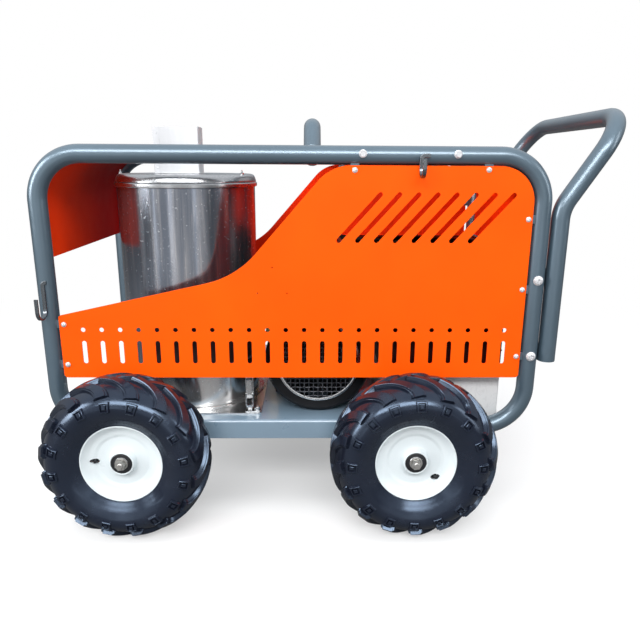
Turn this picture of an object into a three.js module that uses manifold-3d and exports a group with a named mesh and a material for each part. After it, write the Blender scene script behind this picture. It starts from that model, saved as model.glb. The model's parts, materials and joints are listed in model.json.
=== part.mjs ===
// A hot-water pressure washer on four pneumatic wheels: a tubular cage with side
// panels and a hood carries an upright boiler, an electric motor with its pump, and a tank.
// Millimetres. +X towards the push handle, -Y towards the near side, +Z up,
// with the floor at z = 0.
import * as THREE from 'three';
import { mergeVertices } from 'three/addons/utils/BufferGeometryUtils.js';
import Module from 'manifold-3d';

const wasm = await Module();
wasm.setup();

// ---- driving dimensions ----
const clearance = 0.3;
const tubeRadius = 19;
const tubeSides = 12;
const loopOffset = 270;
const loop = { left: -600, right: 440, top: 792, bottom: 200, bend: 94 };
const pan = { left: -507, right: 347, top: 222.5, sheet: 3, flangeFoot: 180, flangeOut: 293.5 };
const wheel = { left: -429, right: 177.4, axleHeight: 177.5, offset: 368 };
const handle = { armX: 481, armFoot: 356.8, bendZ: 688, barX: 600, barZ: 874.5, boltHeights: [538.6, 370.6] };
const panel = { inner: 281, thickness: 2, foot: 320.3 };
const boiler = { x: -330, y: -83, radius: 157, top: 732.8, lidTop: 751, wall: 2 };
const plate = { half: 176, thickness: 3 };
const duct = { left: -395.5, right: -295, near: -113, far: -53, top: 854, wall: 1.5 };
const motor = { x: -24, z: 345, cowlRadius: 120.5, bodyRadius: 108, front: -245, back: 60 };
const tank = { left: 120, right: 388.5, near: -248, far: 100, top: 480, wall: 2, skirtFoot: 205 };
const control = { left: 30, right: 405, near: -160, far: 120, bottom: 485.3, top: 587 };
const panTop = pan.top + clearance;
const plateTop = panTop + plate.thickness;

// ---- finishes ----
function finish(color, roughness, metalness) {
  return () => new THREE.MeshStandardMaterial({ color, roughness, metalness });
}
const framePaint = finish(0x68808f, 0.35, 0.2);
const panelPaint = finish(0xff6a10, 0.4, 0.0);
const rimPaint = finish(0xf0f2f2, 0.35, 0.0);
const blackPaint = finish(0x18191b, 0.45, 0.1);
const stainless = finish(0xc4c7c9, 0.32, 0.9);
const mirrorSteel = finish(0xaab0b4, 0.12, 1.0);
const zincSteel = finish(0xd0d3d6, 0.25, 1.0);
const castAluminium = finish(0x9fa4a8, 0.5, 0.8);
const brass = finish(0xb8923f, 0.35, 0.9);
const rubber = finish(0x1b1c1f, 0.7, 0.0);
const tyreRubber = finish(0x222327, 0.65, 0.0);
const blackPlastic = finish(0x202124, 0.5, 0.0);
const redPlastic = finish(0xb3231c, 0.4, 0.0);
const whiteDial = finish(0xf2f2ee, 0.5, 0.0);

const machine = new THREE.Group();

function addPart(name, geometry, makeFinish, parent = machine) {
  const mesh = new THREE.Mesh(geometry, makeFinish());
  mesh.name = name;
  parent.add(mesh);
  return mesh;
}

// ---- geometry helpers ----
const unit = {
  x: new THREE.Vector3(1, 0, 0),
  y: new THREE.Vector3(0, 1, 0),
  z: new THREE.Vector3(0, 0, 1),
};

// Merges shared corners, drops slivers without area and turns the faces outward.
function closeUp(source) {
  const bare = source.clone();
  bare.deleteAttribute('normal');
  bare.deleteAttribute('uv');
  const welded = mergeVertices(bare, 1e-3);
  const corner = welded.index.array;
  const at = welded.attributes.position;
  const kept = [];
  const [a, b, c] = [new THREE.Vector3(), new THREE.Vector3(), new THREE.Vector3()];
  let volume = 0;
  for (let i = 0; i < corner.length; i += 3) {
    const [p, q, r] = [corner[i], corner[i + 1], corner[i + 2]];
    if (p === q || q === r || r === p) continue;
    kept.push([p, q, r]);
    a.fromBufferAttribute(at, p);
    b.fromBufferAttribute(at, q);
    c.fromBufferAttribute(at, r);
    volume += a.dot(b.cross(c));
  }
  const outward = kept.map(([p, q, r]) => (volume < 0 ? [p, r, q] : [p, q, r]));
  const result = new THREE.BufferGeometry();
  result.setAttribute('position', at);
  result.setIndex(outward.flat());
  return result;
}

function toSolid(geometry) {
  const shape = closeUp(geometry);
  return new wasm.Manifold(new wasm.Mesh({
    numProp: 3,
    vertProperties: Float32Array.from(shape.attributes.position.array),
    triVerts: Uint32Array.from(shape.index.array),
  }));
}

function fromSolid(solid) {
  const mesh = solid.getMesh();
  const geometry = new THREE.BufferGeometry();
  geometry.setAttribute('position', new THREE.BufferAttribute(Float32Array.from(mesh.vertProperties), 3));
  geometry.setIndex(Array.from(mesh.triVerts));
  return geometry;
}

function join(...shapes) {
  return fromSolid(shapes.map(toSolid).reduce((whole, next) => whole.add(next)));
}

function cut(base, ...tools) {
  return fromSolid(tools.map(toSolid).reduce((whole, tool) => whole.subtract(tool), toSolid(base)));
}

function box(xLow, xHigh, yLow, yHigh, zLow, zHigh) {
  const shape = new THREE.BoxGeometry(xHigh - xLow, yHigh - yLow, zHigh - zLow);
  return shape.translate((xLow + xHigh) / 2, (yLow + yHigh) / 2, (zLow + zHigh) / 2);
}

// Extrudes an outline along an axis: it is drawn in (y, z), (x, z) or (x, y).
function extrudeAlong(axis, outline, low, high, holes = []) {
  const shape = new THREE.Shape(outline);
  shape.holes = holes.map((points) => new THREE.Path(points));
  const solid = new THREE.ExtrudeGeometry(shape, { depth: high - low, bevelEnabled: false });
  const [u, v] = { x: ['y', 'z'], y: ['x', 'z'], z: ['x', 'y'] }[axis];
  solid.translate(0, 0, low);
  solid.applyMatrix4(new THREE.Matrix4().makeBasis(unit[u], unit[v], unit[axis]));
  return closeUp(solid);
}

function polar(x, y, radius, degrees) {
  const angle = THREE.MathUtils.degToRad(degrees);
  return new THREE.Vector2(x + radius * Math.cos(angle), y + radius * Math.sin(angle));
}

function arcPoints(x, y, radius, from, to, steps) {
  return Array.from({ length: steps + 1 }, (_, i) => polar(x, y, radius, from + (to - from) * (i / steps)));
}

// A closed outline about a centre that repeats a few [radius, degrees] points in each of its parts.
function toothedOutline(x, y, count, pattern) {
  return Array.from({ length: count }, (_, i) => {
    const middle = (360 / count) * i;
    return pattern.map(([radius, degrees]) => polar(x, y, radius, middle + degrees));
  }).flat();
}

function circle(x, y, radius, sides, start = 180 / sides) {
  return arcPoints(x, y, radius, start, 360 + start, sides).slice(0, -1);
}

function rod(axis, radius, u, v, low, high, sides = 16) {
  return extrudeAlong(axis, circle(u, v, radius, sides), low, high);
}

// A slot with round ends between two points, radius being half its width.
function slotOutline(x0, y0, x1, y1, radius, steps = 2) {
  const turn = THREE.MathUtils.radToDeg(Math.atan2(y1 - y0, x1 - x0));
  return [
    ...arcPoints(x1, y1, radius, turn - 90, turn + 90, steps),
    ...arcPoints(x0, y0, radius, turn + 90, turn + 270, steps),
  ];
}

// Revolves a closed profile of [radius, height] pairs about Y.
function revolve(profile, segments) {
  const closed = [...profile, profile[0]].map(([r, y]) => new THREE.Vector2(r, y));
  return closeUp(new THREE.LatheGeometry(closed, segments, Math.PI / segments));
}

// The corner [x, y, z, radius] of a bent bar becomes an arc of points between its tangents.
function bendCorner(before, [x, y, z, radius], after, steps) {
  const corner = new THREE.Vector3(x, y, z);
  const toBefore = new THREE.Vector3(...before.slice(0, 3)).sub(corner).normalize();
  const toAfter = new THREE.Vector3(...after.slice(0, 3)).sub(corner).normalize();
  const angle = toBefore.angleTo(toAfter);
  const reach = radius / Math.tan(angle / 2);
  const middle = toBefore.clone().add(toAfter).normalize();
  const centre = corner.clone().addScaledVector(middle, radius / Math.sin(angle / 2));
  const start = corner.clone().addScaledVector(toBefore, reach).sub(centre);
  const end = corner.clone().addScaledVector(toAfter, reach).sub(centre);
  const sweepAngle = Math.PI - angle;
  return Array.from({ length: steps + 1 }, (_, i) => {
    const s = i / steps;
    const fromStart = Math.sin((1 - s) * sweepAngle) / Math.sin(sweepAngle);
    const fromEnd = Math.sin(s * sweepAngle) / Math.sin(sweepAngle);
    return centre.clone().addScaledVector(start, fromStart).addScaledVector(end, fromEnd);
  });
}

function bentPath(corners, steps, closed = false) {
  return corners.flatMap((corner, i) => {
    const free = !closed && (i === 0 || i === corners.length - 1);
    if (free || !corner[3]) return [new THREE.Vector3(...corner.slice(0, 3))];
    const before = corners[(i + corners.length - 1) % corners.length];
    return bendCorner(before, corner, corners[(i + 1) % corners.length], steps);
  });
}

// Carries a section along a path, mitred at each point, so a bent bar keeps its width.
// The section's first axis starts along "side".
function bentBar(path, section, side, closed = false) {
  const count = path.length;
  const runs = closed ? count : count - 1;
  const direction = (i) => path[(i + 1) % count].clone().sub(path[i]).normalize();
  const across = side.clone().addScaledVector(direction(0), -side.dot(direction(0))).normalize();
  const rings = [];
  for (let i = 0; i < count; i += 1) {
    const ahead = closed || i < count - 1 ? direction(i) : direction(i - 1);
    const behind = closed || i > 0 ? direction((i + count - 1) % count) : ahead;
    if (i > 0) across.applyQuaternion(new THREE.Quaternion().setFromUnitVectors(behind, ahead));
    const other = new THREE.Vector3().crossVectors(ahead, across);
    const mitre = behind.clone().add(ahead).normalize();
    rings.push(section.map(([u, v]) => {
      const offset = across.clone().multiplyScalar(u).addScaledVector(other, v);
      offset.addScaledVector(ahead, -offset.dot(mitre) / ahead.dot(mitre));
      return offset.add(path[i]);
    }));
  }
  const sides = section.length;
  const index = [];
  for (let i = 0; i < runs; i += 1) {
    for (let k = 0; k < sides; k += 1) {
      const [a, b] = [i * sides + k, i * sides + ((k + 1) % sides)];
      const next = ((i + 1) % count) * sides;
      index.push(a, b, next + ((k + 1) % sides), a, next + ((k + 1) % sides), next + k);
    }
  }
  if (!closed) {
    const faces = THREE.ShapeUtils.triangulateShape(section.map(([u, v]) => new THREE.Vector2(u, v)), []);
    const last = (count - 1) * sides;
    faces.forEach(([a, b, c]) => index.push(a, c, b, last + a, last + b, last + c));
  }
  const geometry = new THREE.BufferGeometry().setFromPoints(rings.flat());
  geometry.setIndex(index);
  return closeUp(geometry);
}

function roundSection(radius, sides) {
  return circle(0, 0, radius, sides, 0).map((point) => [point.x, point.y]);
}

function flatSection(width, thickness) {
  const [w, t] = [width / 2, thickness / 2];
  return [[-w, -t], [w, -t], [w, t], [-w, t]];
}

const sides = { near: -1, far: 1 };

// ---- cage ----

// Screws that hold a side panel to its loop, as [x, z, which way the tab reaches the tube].
const panelScrews = [
  [48, 763, 'up'], [320, 765, 'up'],
  [409.5, 666, 'right'], [409.5, 518, 'right'], [409.5, 369, 'right'],
  [-568, 440, 'left'], [-568, 350, 'left'],
];

function panelTab(x, z, way, side) {
  const half = 9;
  const reach = 19;
  const [outer, inner] = [panel.inner - clearance, panel.inner - clearance - 3];
  const [yLow, yHigh] = side > 0 ? [inner, outer] : [-outer, -inner];
  if (way === 'up') return box(x - half, x + half, yLow, yHigh, z - half, z + reach);
  if (way === 'right') return box(x - half, x + reach, yLow, yHigh, z - half, z + half);
  return box(x - reach, x + half, yLow, yHigh, z - half, z + half);
}

function sideFrame(side) {
  const y = side * loopOffset;
  const corners = [
    [loop.right, y, loop.bottom, loop.bend], [loop.right, y, loop.top, loop.bend],
    [loop.left, y, loop.top, loop.bend], [loop.left, y, loop.bottom, loop.bend],
  ];
  const tube = bentBar(bentPath(corners, 5, true), roundSection(tubeRadius, tubeSides), unit.y, true);
  return join(tube, ...panelScrews.map(([x, z, way]) => panelTab(x, z, way, side)));
}

function liftingBar() {
  const x = -38;
  const end = loopOffset - tubeRadius - clearance;
  const crown = loop.top + 64;
  const corners = [
    [x, -end, loop.top], [x, -165, loop.top, 45], [x, -95, crown, 45],
    [x, 95, crown, 45], [x, 165, loop.top, 45], [x, end, loop.top],
  ];
  return bentBar(bentPath(corners, 3), roundSection(tubeRadius, tubeSides), unit.x);
}

function basePan() {
  const outer = pan.flangeOut;
  const inner = outer - pan.sheet;
  const bendRadius = 6;
  const innerRadius = bendRadius - pan.sheet;
  const outline = [
    new THREE.Vector2(outer, pan.flangeFoot),
    ...arcPoints(outer - bendRadius, pan.top - bendRadius, bendRadius, 0, 90, 3),
    ...arcPoints(-outer + bendRadius, pan.top - bendRadius, bendRadius, 90, 180, 3),
    new THREE.Vector2(-outer, pan.flangeFoot),
    new THREE.Vector2(-inner, pan.flangeFoot),
    ...arcPoints(-outer + bendRadius, pan.top - bendRadius, innerRadius, 180, 90, 2),
    ...arcPoints(outer - bendRadius, pan.top - bendRadius, innerRadius, 90, 0, 2),
    new THREE.Vector2(inner, pan.flangeFoot),
  ];
  return extrudeAlong('x', outline, pan.left, pan.right);
}

function pushHandle() {
  const { armX, armFoot, bendZ, barX, barZ, boltHeights } = handle;
  const arm = (y) => [[armX, y, armFoot], [armX, y, bendZ, 80], [barX, y, barZ, 90]];
  const corners = [...arm(-loopOffset), ...arm(loopOffset).reverse()];
  const tube = bentBar(bentPath(corners, 5), roundSection(tubeRadius, tubeSides), unit.y);
  // Welded plates on the inner side of the loop's upright, one behind each handle bolt.
  const boltPlate = (side, z) => {
    const [outer, inner] = [loopOffset - tubeRadius - clearance, loopOffset - tubeRadius - 4];
    const [yLow, yHigh] = side > 0 ? [inner, outer] : [-outer, -inner];
    return box(loop.right - 16, armX + 10, yLow, yHigh, z - 20, z + 20);
  };
  const weld = (side, z) => {
    const middle = side * (loopOffset - tubeRadius);
    return box(armX - 6, armX + 6, middle - 3, middle + 3, z - 18, z + 18);
  };
  const bolted = boltHeights.flatMap((z) => [[sides.near, z], [sides.far, z]]);
  return join(tube, ...bolted.flatMap(([side, z]) => [boltPlate(side, z), weld(side, z)]));
}

// A flat bar bent into a hook that opens away from the cage: its arm lies on the tube,
// its shank hangs down and its tip stands up in front.
function hook({ x, arm, top, bend, tip }) {
  const reach = 38;
  const thickness = 4;
  const shankY = -loopOffset - tubeRadius - clearance - thickness / 2;
  const round = reach / 2 - 0.1;
  const corners = [
    [x + arm, shankY, top], [x, shankY, top, 6],
    [x, shankY, bend, round], [x, shankY - reach, bend, round],
    [x, shankY - reach, tip],
  ];
  return bentBar(bentPath(corners, 4), flatSection(8, thickness), unit.z);
}

addPart('side_frame_near', sideFrame(-1), framePaint);
addPart('side_frame_far', sideFrame(1), framePaint);
addPart('lifting_bar', liftingBar(), framePaint);
addPart('base_pan', basePan(), framePaint);
addPart('push_handle', pushHandle(), framePaint);
addPart('hook_end', hook({ x: loop.left, arm: 8, top: 532, bend: 458, tip: 504 }), zincSteel);
addPart('hook_top', hook({ x: 181, arm: 17, top: 792, bend: 750, tip: 786 }), zincSteel);

// ---- sheet-metal covers ----

const grille = {
  first: -528.6, pitch: 39.45, count: 24, holeZ: 428.1, holeRadius: 5.3,
  slotLow: 352, slotHigh: 403.8, slotRadius: 5.3,
};
const louvre = { first: 16.8, pitch: 39.2, count: 8, low: 621, high: 715, lean: 84.6 };

function filletOutline(corners, steps) {
  const flat = bentPath(corners.map(([x, z, radius]) => [x, z, 0, radius]), steps, true);
  return flat.map((point) => new THREE.Vector2(point.x, point.y));
}

function sidePanel(side) {
  const outline = filletOutline([
    [-578, panel.foot, 8], [418, panel.foot, 8], [418, 772, loop.bend - tubeRadius - 2],
    [0.6, 772, 90], [-198.8, 543.3, 200], [-578, 458.7, 6],
  ], 4);
  const columns = Array.from({ length: grille.count }, (_, i) => grille.first + grille.pitch * i);
  const slotRadius = grille.slotRadius;
  const [slotFrom, slotTo] = [grille.slotLow + slotRadius, grille.slotHigh - slotRadius];
  const louvreRadius = 5.25;
  const holes = [
    ...columns.map((x) => circle(x, grille.holeZ, grille.holeRadius, 6)),
    ...columns.map((x) => slotOutline(x, slotFrom, x, slotTo, slotRadius)),
  ];
  // Only the near panel has the slanted louvres.
  const louvres = Array.from({ length: louvre.count }, (_, i) => {
    const x = louvre.first + louvre.pitch * i;
    return slotOutline(x, louvre.low, x + louvre.lean, louvre.high, louvreRadius);
  });
  const [low, high] = [panel.inner, panel.inner + panel.thickness];
  return side > 0
    ? extrudeAlong('y', outline, low, high, holes)
    : extrudeAlong('y', outline, -high, -low, [...holes, ...louvres]);
}

// A sheet between the two loops that closes an end of the cage, rounds its top corner
// and runs on along the top.
const coverSheet = { foot: 576, thickness: 2, leftTopEnd: -500, hoodTopEnd: 20 };

function bentCover(endX, topEndX) {
  const corners = [[endX, 0, coverSheet.foot], [endX, 0, loop.top, loop.bend], [topEndX, 0, loop.top]];
  const width = 2 * (loopOffset - tubeRadius - clearance);
  return bentBar(bentPath(corners, 6), flatSection(width, coverSheet.thickness), unit.y);
}

addPart('side_panel_near', sidePanel(-1), panelPaint);
addPart('side_panel_far', sidePanel(1), panelPaint);
addPart('end_cover', bentCover(loop.left, coverSheet.leftTopEnd), panelPaint);
addPart('hood', bentCover(loop.right, coverSheet.hoodTopEnd), panelPaint);

// ---- wheels ----
// Each wheel is drawn about Y, with +Y pointing away from the machine.

const hub = { bearingRadius: 22, bearingLow: 29, face: 41, shaftRadius: 10, backFace: -25 };

function stubAxle() {
  const plateFace = pan.flangeOut + clearance - wheel.offset;
  const collarEnd = hub.backFace - 2;
  const nutSeat = hub.face + 9;
  const mountPlate = box(-32, 32, plateFace, plateFace + 4, -15, 38);
  const collar = rod('y', 15, 0, 0, plateFace, collarEnd, 12);
  const shaft = rod('y', hub.shaftRadius, 0, 0, plateFace, nutSeat, 12);
  return join(mountPlate, collar, shaft);
}

function wheelRim() {
  const bore = hub.bearingRadius + clearance;
  const shaftBore = 16;
  return revolve([
    [85, 43], [82.5, 43], [66, 29.5], [30, 26], [27, hub.face], [bore, hub.face],
    [bore, hub.bearingLow - clearance], [shaftBore, 26], [shaftBore, hub.backFace],
    [22, hub.backFace], [25, 22.5], [72, 29], [73.4, -37], [85, -43], [76, -36], [76, 36],
  ], 16);
}

function tyre() {
  const flatToCorner = Math.cos(Math.PI / 24);
  const tread = wheel.axleHeight / flatToCorner;
  const bead = 76 / flatToCorner + clearance;
  const half = [[bead, 34.5], [87, 40], [112, 61], [134, 66], [157, 52], [tread, 24]];
  const mirrored = half.map(([r, y]) => [r, -y]).reverse();
  const inside = [[bead, -24], [118, -54], [164, -30], [164, 30], [118, 54], [bead, 24]];
  return revolve([...half, ...mirrored, ...inside], 24);
}

function wheelBearing() {
  const inner = hub.shaftRadius + clearance;
  const outer = hub.bearingRadius - clearance;
  return revolve([
    [inner, hub.bearingLow], [outer, hub.bearingLow], [outer, hub.face], [inner, hub.face],
  ], 16);
}

function axleNut() {
  const low = hub.face + clearance;
  const washer = rod('y', 13, 0, 0, low, low + 2, 12);
  const nut = rod('y', 11, 0, 0, low + 1, low + 11, 6);
  const threadHole = rod('y', hub.shaftRadius + clearance, 0, 0, low - 1, low + 9, 12);
  return cut(join(washer, nut), threadHole);
}

for (const [end, x] of [['left', wheel.left], ['right', wheel.right]]) {
  for (const [sideName, side] of Object.entries(sides)) {
    const corner = new THREE.Group();
    corner.position.set(x, side * wheel.offset, wheel.axleHeight);
    if (side < 0) corner.rotation.z = Math.PI;
    machine.add(corner);
    const name = `${end}_${sideName}`;
    addPart(`stub_axle_${name}`, stubAxle(), zincSteel, corner);
    addPart(`wheel_rim_${name}`, wheelRim(), rimPaint, corner);
    addPart(`tyre_${name}`, tyre(), tyreRubber, corner);
    addPart(`wheel_bearing_${name}`, wheelBearing(), rubber, corner);
    addPart(`axle_nut_${name}`, axleNut(), zincSteel, corner);
  }
}

// ---- boiler ----

const burner = { z: 340, tube: 46, port: 48 };
const latch = { x: -180, y: -246, pivotZ: 299, catchZ: 246, half: 9, tabUnder: 309 };

function atBoiler(geometry) {
  return geometry.rotateX(Math.PI / 2).translate(boiler.x, boiler.y, 0);
}

function boilerPlate() {
  const { x, y } = boiler;
  const { half } = plate;
  const left = x - half;
  const near = y - half;
  const outline = filletOutline([
    [left, near, 10], [x + half, near, 10], [x + half, y + half, 10], [left, y + half, 10],
  ], 2);
  return extrudeAlong('z', outline, panTop, plateTop);
}

function boilerShell() {
  const { radius, wall, top, x, y } = boiler;
  const foot = plateTop + clearance;
  const skirt = 170;
  const wallProfile = [
    [radius - wall, foot], [skirt, foot], [skirt, foot + 4], [radius, foot + 7],
    [radius, top], [radius - wall, top],
  ];
  const body = atBoiler(revolve(wallProfile, 28));
  const burnerPort = rod('y', burner.port, x, burner.z, y + radius - 20, y + radius + 20, 16);
  // The tab that the toggle latch hangs from, welded square to the shell.
  const tab = box(x + 100, x + 162, -252, -180, latch.tabUnder, latch.tabUnder + 3);
  return cut(join(body, tab), burnerPort);
}

function boilerLid() {
  const foot = boiler.top + clearance;
  const top = boiler.lidTop;
  const body = atBoiler(revolve([
    [0, top], [150, top], [160, top - 6], [160, foot + 1], [157.5, foot + 1], [150, top - 4], [0, top - 4],
  ], 28));
  const flue = box(duct.left + 3, duct.right - 3, duct.near + 3, duct.far - 3, top - 20, top + 20);
  return cut(body, flue);
}

function clampRing() {
  const inner = boiler.radius + clearance;
  return atBoiler(revolve([
    [inner, boiler.top - 10], [inner + 5, boiler.top - 10], [inner + 5, boiler.top], [inner, boiler.top],
  ], 28));
}

function chimneyDuct() {
  const { left, right, near, far, top, wall } = duct;
  const foot = boiler.lidTop + clearance;
  const rectangle = (inset) => filletOutline([
    [left + inset, near + inset, 3], [right - inset, near + inset, 3],
    [right - inset, far - inset, 3], [left + inset, far - inset, 3],
  ], 2);
  return extrudeAlong('z', rectangle(0), foot, top, [rectangle(wall)]);
}

function heatingCoil() {
  return atBoiler(revolve([[118, 300], [130, 300], [130, 690], [118, 690]], 20));
}

function burnerHousing() {
  const { x, y, radius } = boiler;
  const face = y + radius;
  const blastTube = rod('y', burner.tube, x, burner.z, face - 22, face + 40, 16);
  const outline = filletOutline([
    [x - 75, burner.z - 72, 20], [x + 68, burner.z - 72, 20],
    [x + 68, burner.z + 78, 30], [x - 75, burner.z + 78, 30],
  ], 3);
  const body = extrudeAlong('y', outline, face + 34, face + 150);
  const airInlet = rod('y', 34, x - 10, burner.z + 8, face + 140, face + 170, 16);
  const hollow = rod('y', 28, x - 10, burner.z + 8, face + 60, face + 175, 12);
  return cut(join(blastTube, body, airInlet), hollow);
}

function burnerMotor() {
  const { x, y, radius } = boiler;
  const start = x + 68 + clearance;
  return rod('x', 42, y + radius + 100, burner.z, start, start + 44, 16);
}

addPart('boiler_base_plate', boilerPlate(), stainless);
addPart('boiler_shell', boilerShell(), mirrorSteel);
addPart('boiler_lid', boilerLid(), mirrorSteel);
addPart('boiler_clamp_ring', clampRing(), mirrorSteel);
addPart('chimney_duct', chimneyDuct(), stainless);
addPart('heating_coil', heatingCoil(), blackPaint);
addPart('burner_housing', burnerHousing(), blackPaint);
addPart('burner_motor', burnerMotor(), castAluminium);

// ---- toggle latch that holds the boiler down, at the plate's near corner ----

function latchCatch() {
  const { x, y, half } = latch;
  const foot = box(x - half, x + 24, y - 10, y + 6, plateTop + clearance, plateTop + 3);
  const upright = box(x - half + 4, x + half - 4, y + 1, y + 4, plateTop + 1, latch.catchZ - 5);
  const lip = box(x - half + 4, x + half - 4, y - 8, y + 4, latch.catchZ - 7, latch.catchZ - 4.5);
  const bolt = rod('z', 6.5, x + 17, y - 2, plateTop + 1, plateTop + 12, 6);
  return join(foot, upright, lip, bolt);
}

function latchBody() {
  const { x, y, half, pivotZ, tabUnder } = latch;
  const seat = tabUnder - clearance;
  const back = box(x - half, x + half, y + 4.5, y + 6.5, 264, seat);
  const top = box(x - half, x + half, y - 2, y + 14, seat - 2, seat);
  const ear = (earX) => box(earX, earX + 1.5, y - 4, y + 5, pivotZ - 5, pivotZ + 5);
  const pin = rod('x', 1.5, y, pivotZ, x - half, x + half, 8);
  return join(back, top, ear(x - half), ear(x + half - 1.5), pin);
}

function latchLever() {
  const { x, y, pivotZ, catchZ } = latch;
  const grip = box(x - 6, x + 6, y - 6, y - 4, pivotZ - 38, pivotZ + 1);
  const eye = box(x - 6, x + 6, y - 5, y + 2.4, pivotZ - 4, pivotZ + 2.4);
  const pinHole = rod('x', 1.8, y, pivotZ, x - 10, x + 10, 8);
  const bailY = y - 4;
  const wire = bentBar(bentPath([
    [x - 7.5, bailY, pivotZ - 30], [x - 7.5, bailY, catchZ - 9.5, 3],
    [x + 7.5, bailY, catchZ - 9.5, 3], [x + 7.5, bailY, pivotZ - 30],
  ], 2), roundSection(1.3, 6), unit.y);
  const bridge = box(x - 8, x + 8, y - 5.5, y - 3, pivotZ - 31, pivotZ - 27);
  return cut(join(grip, eye, wire, bridge), pinHole);
}

addPart('latch_catch', latchCatch(), zincSteel);
addPart('latch_body', latchBody(), zincSteel);
addPart('latch_lever', latchLever(), zincSteel);

// ---- motor ----

const shaft = { radius: 12, front: -228, back: 98 };

function motorBody() {
  const fins = 18;
  const tipRadius = motor.bodyRadius;
  const rootRadius = tipRadius - 10;
  const outline = toothedOutline(motor.x, motor.z, fins, [
    [rootRadius, -5.5], [tipRadius, -2.2], [tipRadius, 2.2], [rootRadius, 5.5],
  ]);
  const bore = circle(motor.x, motor.z, shaft.radius + 0.5, 12);
  const body = extrudeAlong('y', outline, -149.7, motor.back, [bore]);
  const foot = (x) => box(x - 14, x + 14, -110, 30, panTop, panTop + 78);
  const pad = (x) => box(x - 30, x + 30, -120, 40, panTop, panTop + 12);
  const terminalBox = box(motor.x - 48, motor.x + 42, -110, -10, motor.z + 100, motor.z + 160);
  const legs = [motor.x - 74, motor.x + 74];
  return join(body, ...legs.map(foot), ...legs.map(pad), terminalBox);
}

function atMotor(geometry) {
  return geometry.translate(motor.x, 0, motor.z);
}

function fanCowl() {
  const { front, cowlRadius } = motor;
  const back = -150;
  return atMotor(revolve([
    [95, front], [110, front], [117, front + 4], [cowlRadius, front + 12], [cowlRadius, back],
    [cowlRadius - 2.5, back], [cowlRadius - 2.5, front + 12], [114, front + 6], [95, front + 3],
  ], 28));
}

function motorGrille() {
  const ringOuter = 94;
  const ringInner = 88;
  const spacing = 30;
  const [low, high] = [motor.front - 1, motor.front + 2];
  const ring = extrudeAlong('y', circle(motor.x, motor.z, ringOuter, 24), low, high,
    [circle(motor.x, motor.z, ringInner, 24)]);
  const wires = [-2, -1, 0, 1, 2].flatMap((step) => {
    const offset = step * spacing;
    const reach = Math.sqrt((ringInner + 2) ** 2 - offset ** 2);
    const { x, z } = motor;
    return [
      box(x + offset - 1, x + offset + 1, low + 0.4, high - 0.4, z - reach, z + reach),
      box(x - reach, x + reach, low + 0.4, high - 0.4, z + offset - 1, z + offset + 1),
    ];
  });
  return join(ring, ...wires);
}

function motorFan() {
  const blades = 7;
  const { x, z } = motor;
  const hubRadius = 24;
  const blade = (i) => box(hubRadius - 4, 82, -222, -178, -2, 2)
    .rotateY((2 * Math.PI * i) / blades).translate(x, 0, z);
  const disc = rod('y', hubRadius, x, z, -224, -176, 14);
  const spindle = rod('y', shaft.radius, x, z, shaft.front, shaft.back, 12);
  return join(disc, spindle, ...Array.from({ length: blades }, (_, i) => blade(i)));
}

addPart('motor_body', motorBody(), blackPaint);
addPart('motor_fan_cowl', fanCowl(), blackPaint);
addPart('motor_grille', motorGrille(), zincSteel);
addPart('motor_fan', motorFan(), blackPlastic);

// ---- pump, with its unloader valve on the head ----

const pump = { left: -100, right: 52, near: 86, far: 186, bottom: 285, top: 405 };
const head = { left: -166, near: 92, far: 180, bottom: 300, top: 392 };
const unloader = { x: -134, y: 136, top: 462 };

function pumpCrankcase() {
  const bell = rod('y', 88, motor.x, motor.z, motor.back + clearance, pump.near + 2, 24);
  const outline = filletOutline([
    [pump.left, pump.bottom, 14], [pump.right, pump.bottom, 30],
    [pump.right, pump.top, 30], [pump.left, pump.top, 14],
  ], 2);
  const body = extrudeAlong('y', outline, pump.near, pump.far);
  const filler = rod('z', 12, motor.x, 140, pump.top - 5, pump.top + 22, 10);
  const shaftSocket = rod('y', shaft.radius + 0.5, motor.x, motor.z, motor.back - 5, shaft.back + 4, 12);
  return cut(join(bell, body, filler), shaftSocket);
}

function pumpHead() {
  const [left, right] = [head.left, pump.left - clearance];
  const block = box(left, right, head.near, head.far, head.bottom, head.top);
  const caps = [108, 136, 164].flatMap((y) => [
    rod('x', 11, y, head.top - 22, left - 7, left + 2, 6),
    rod('z', 11, left + 22, y, head.bottom - 7, head.bottom + 2, 6),
  ]);
  const { x, y, top } = unloader;
  const valveBody = box(x - 17, x + 17, y - 17, y + 17, head.top - 1, head.top + 34);
  const valveStem = rod('z', 11, x, y, head.top + 30, top, 12);
  return join(block, ...caps, valveBody, valveStem);
}

function pressureKnob() {
  const { x, y, top } = unloader;
  const grip = toothedOutline(x, y, 8, [[19, -10], [19, 10], [16, 22.5]]);
  return extrudeAlong('z', grip, top + clearance, top + clearance + 24);
}

addPart('pump_crankcase', pumpCrankcase(), castAluminium);
addPart('pump_head', pumpHead(), brass);
addPart('pressure_knob', pressureKnob(), blackPlastic);

// ---- fuel tank and controls ----

const filler = { x: 345, y: -204, radius: 30, top: 512 };

// Past the pan's end the tank's near wall runs down as a skirt.
function fuelTank() {
  const { left, right, near, far, top, wall } = tank;
  const shell = box(left, right, near, far, panTop, top);
  const neck = rod('z', filler.radius, filler.x, filler.y, top - 1, filler.top, 16);
  const inside = box(left + wall, right - wall, near + wall, far - wall, panTop + wall, top - wall);
  const mouth = rod('z', filler.radius - 2.5, filler.x, filler.y, top - 10, filler.top + 1, 16);
  const skirt = box(pan.right + 2, right, near, near + wall, tank.skirtFoot, panTop + 1);
  return cut(join(shell, neck, skirt), inside, mouth);
}

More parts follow.
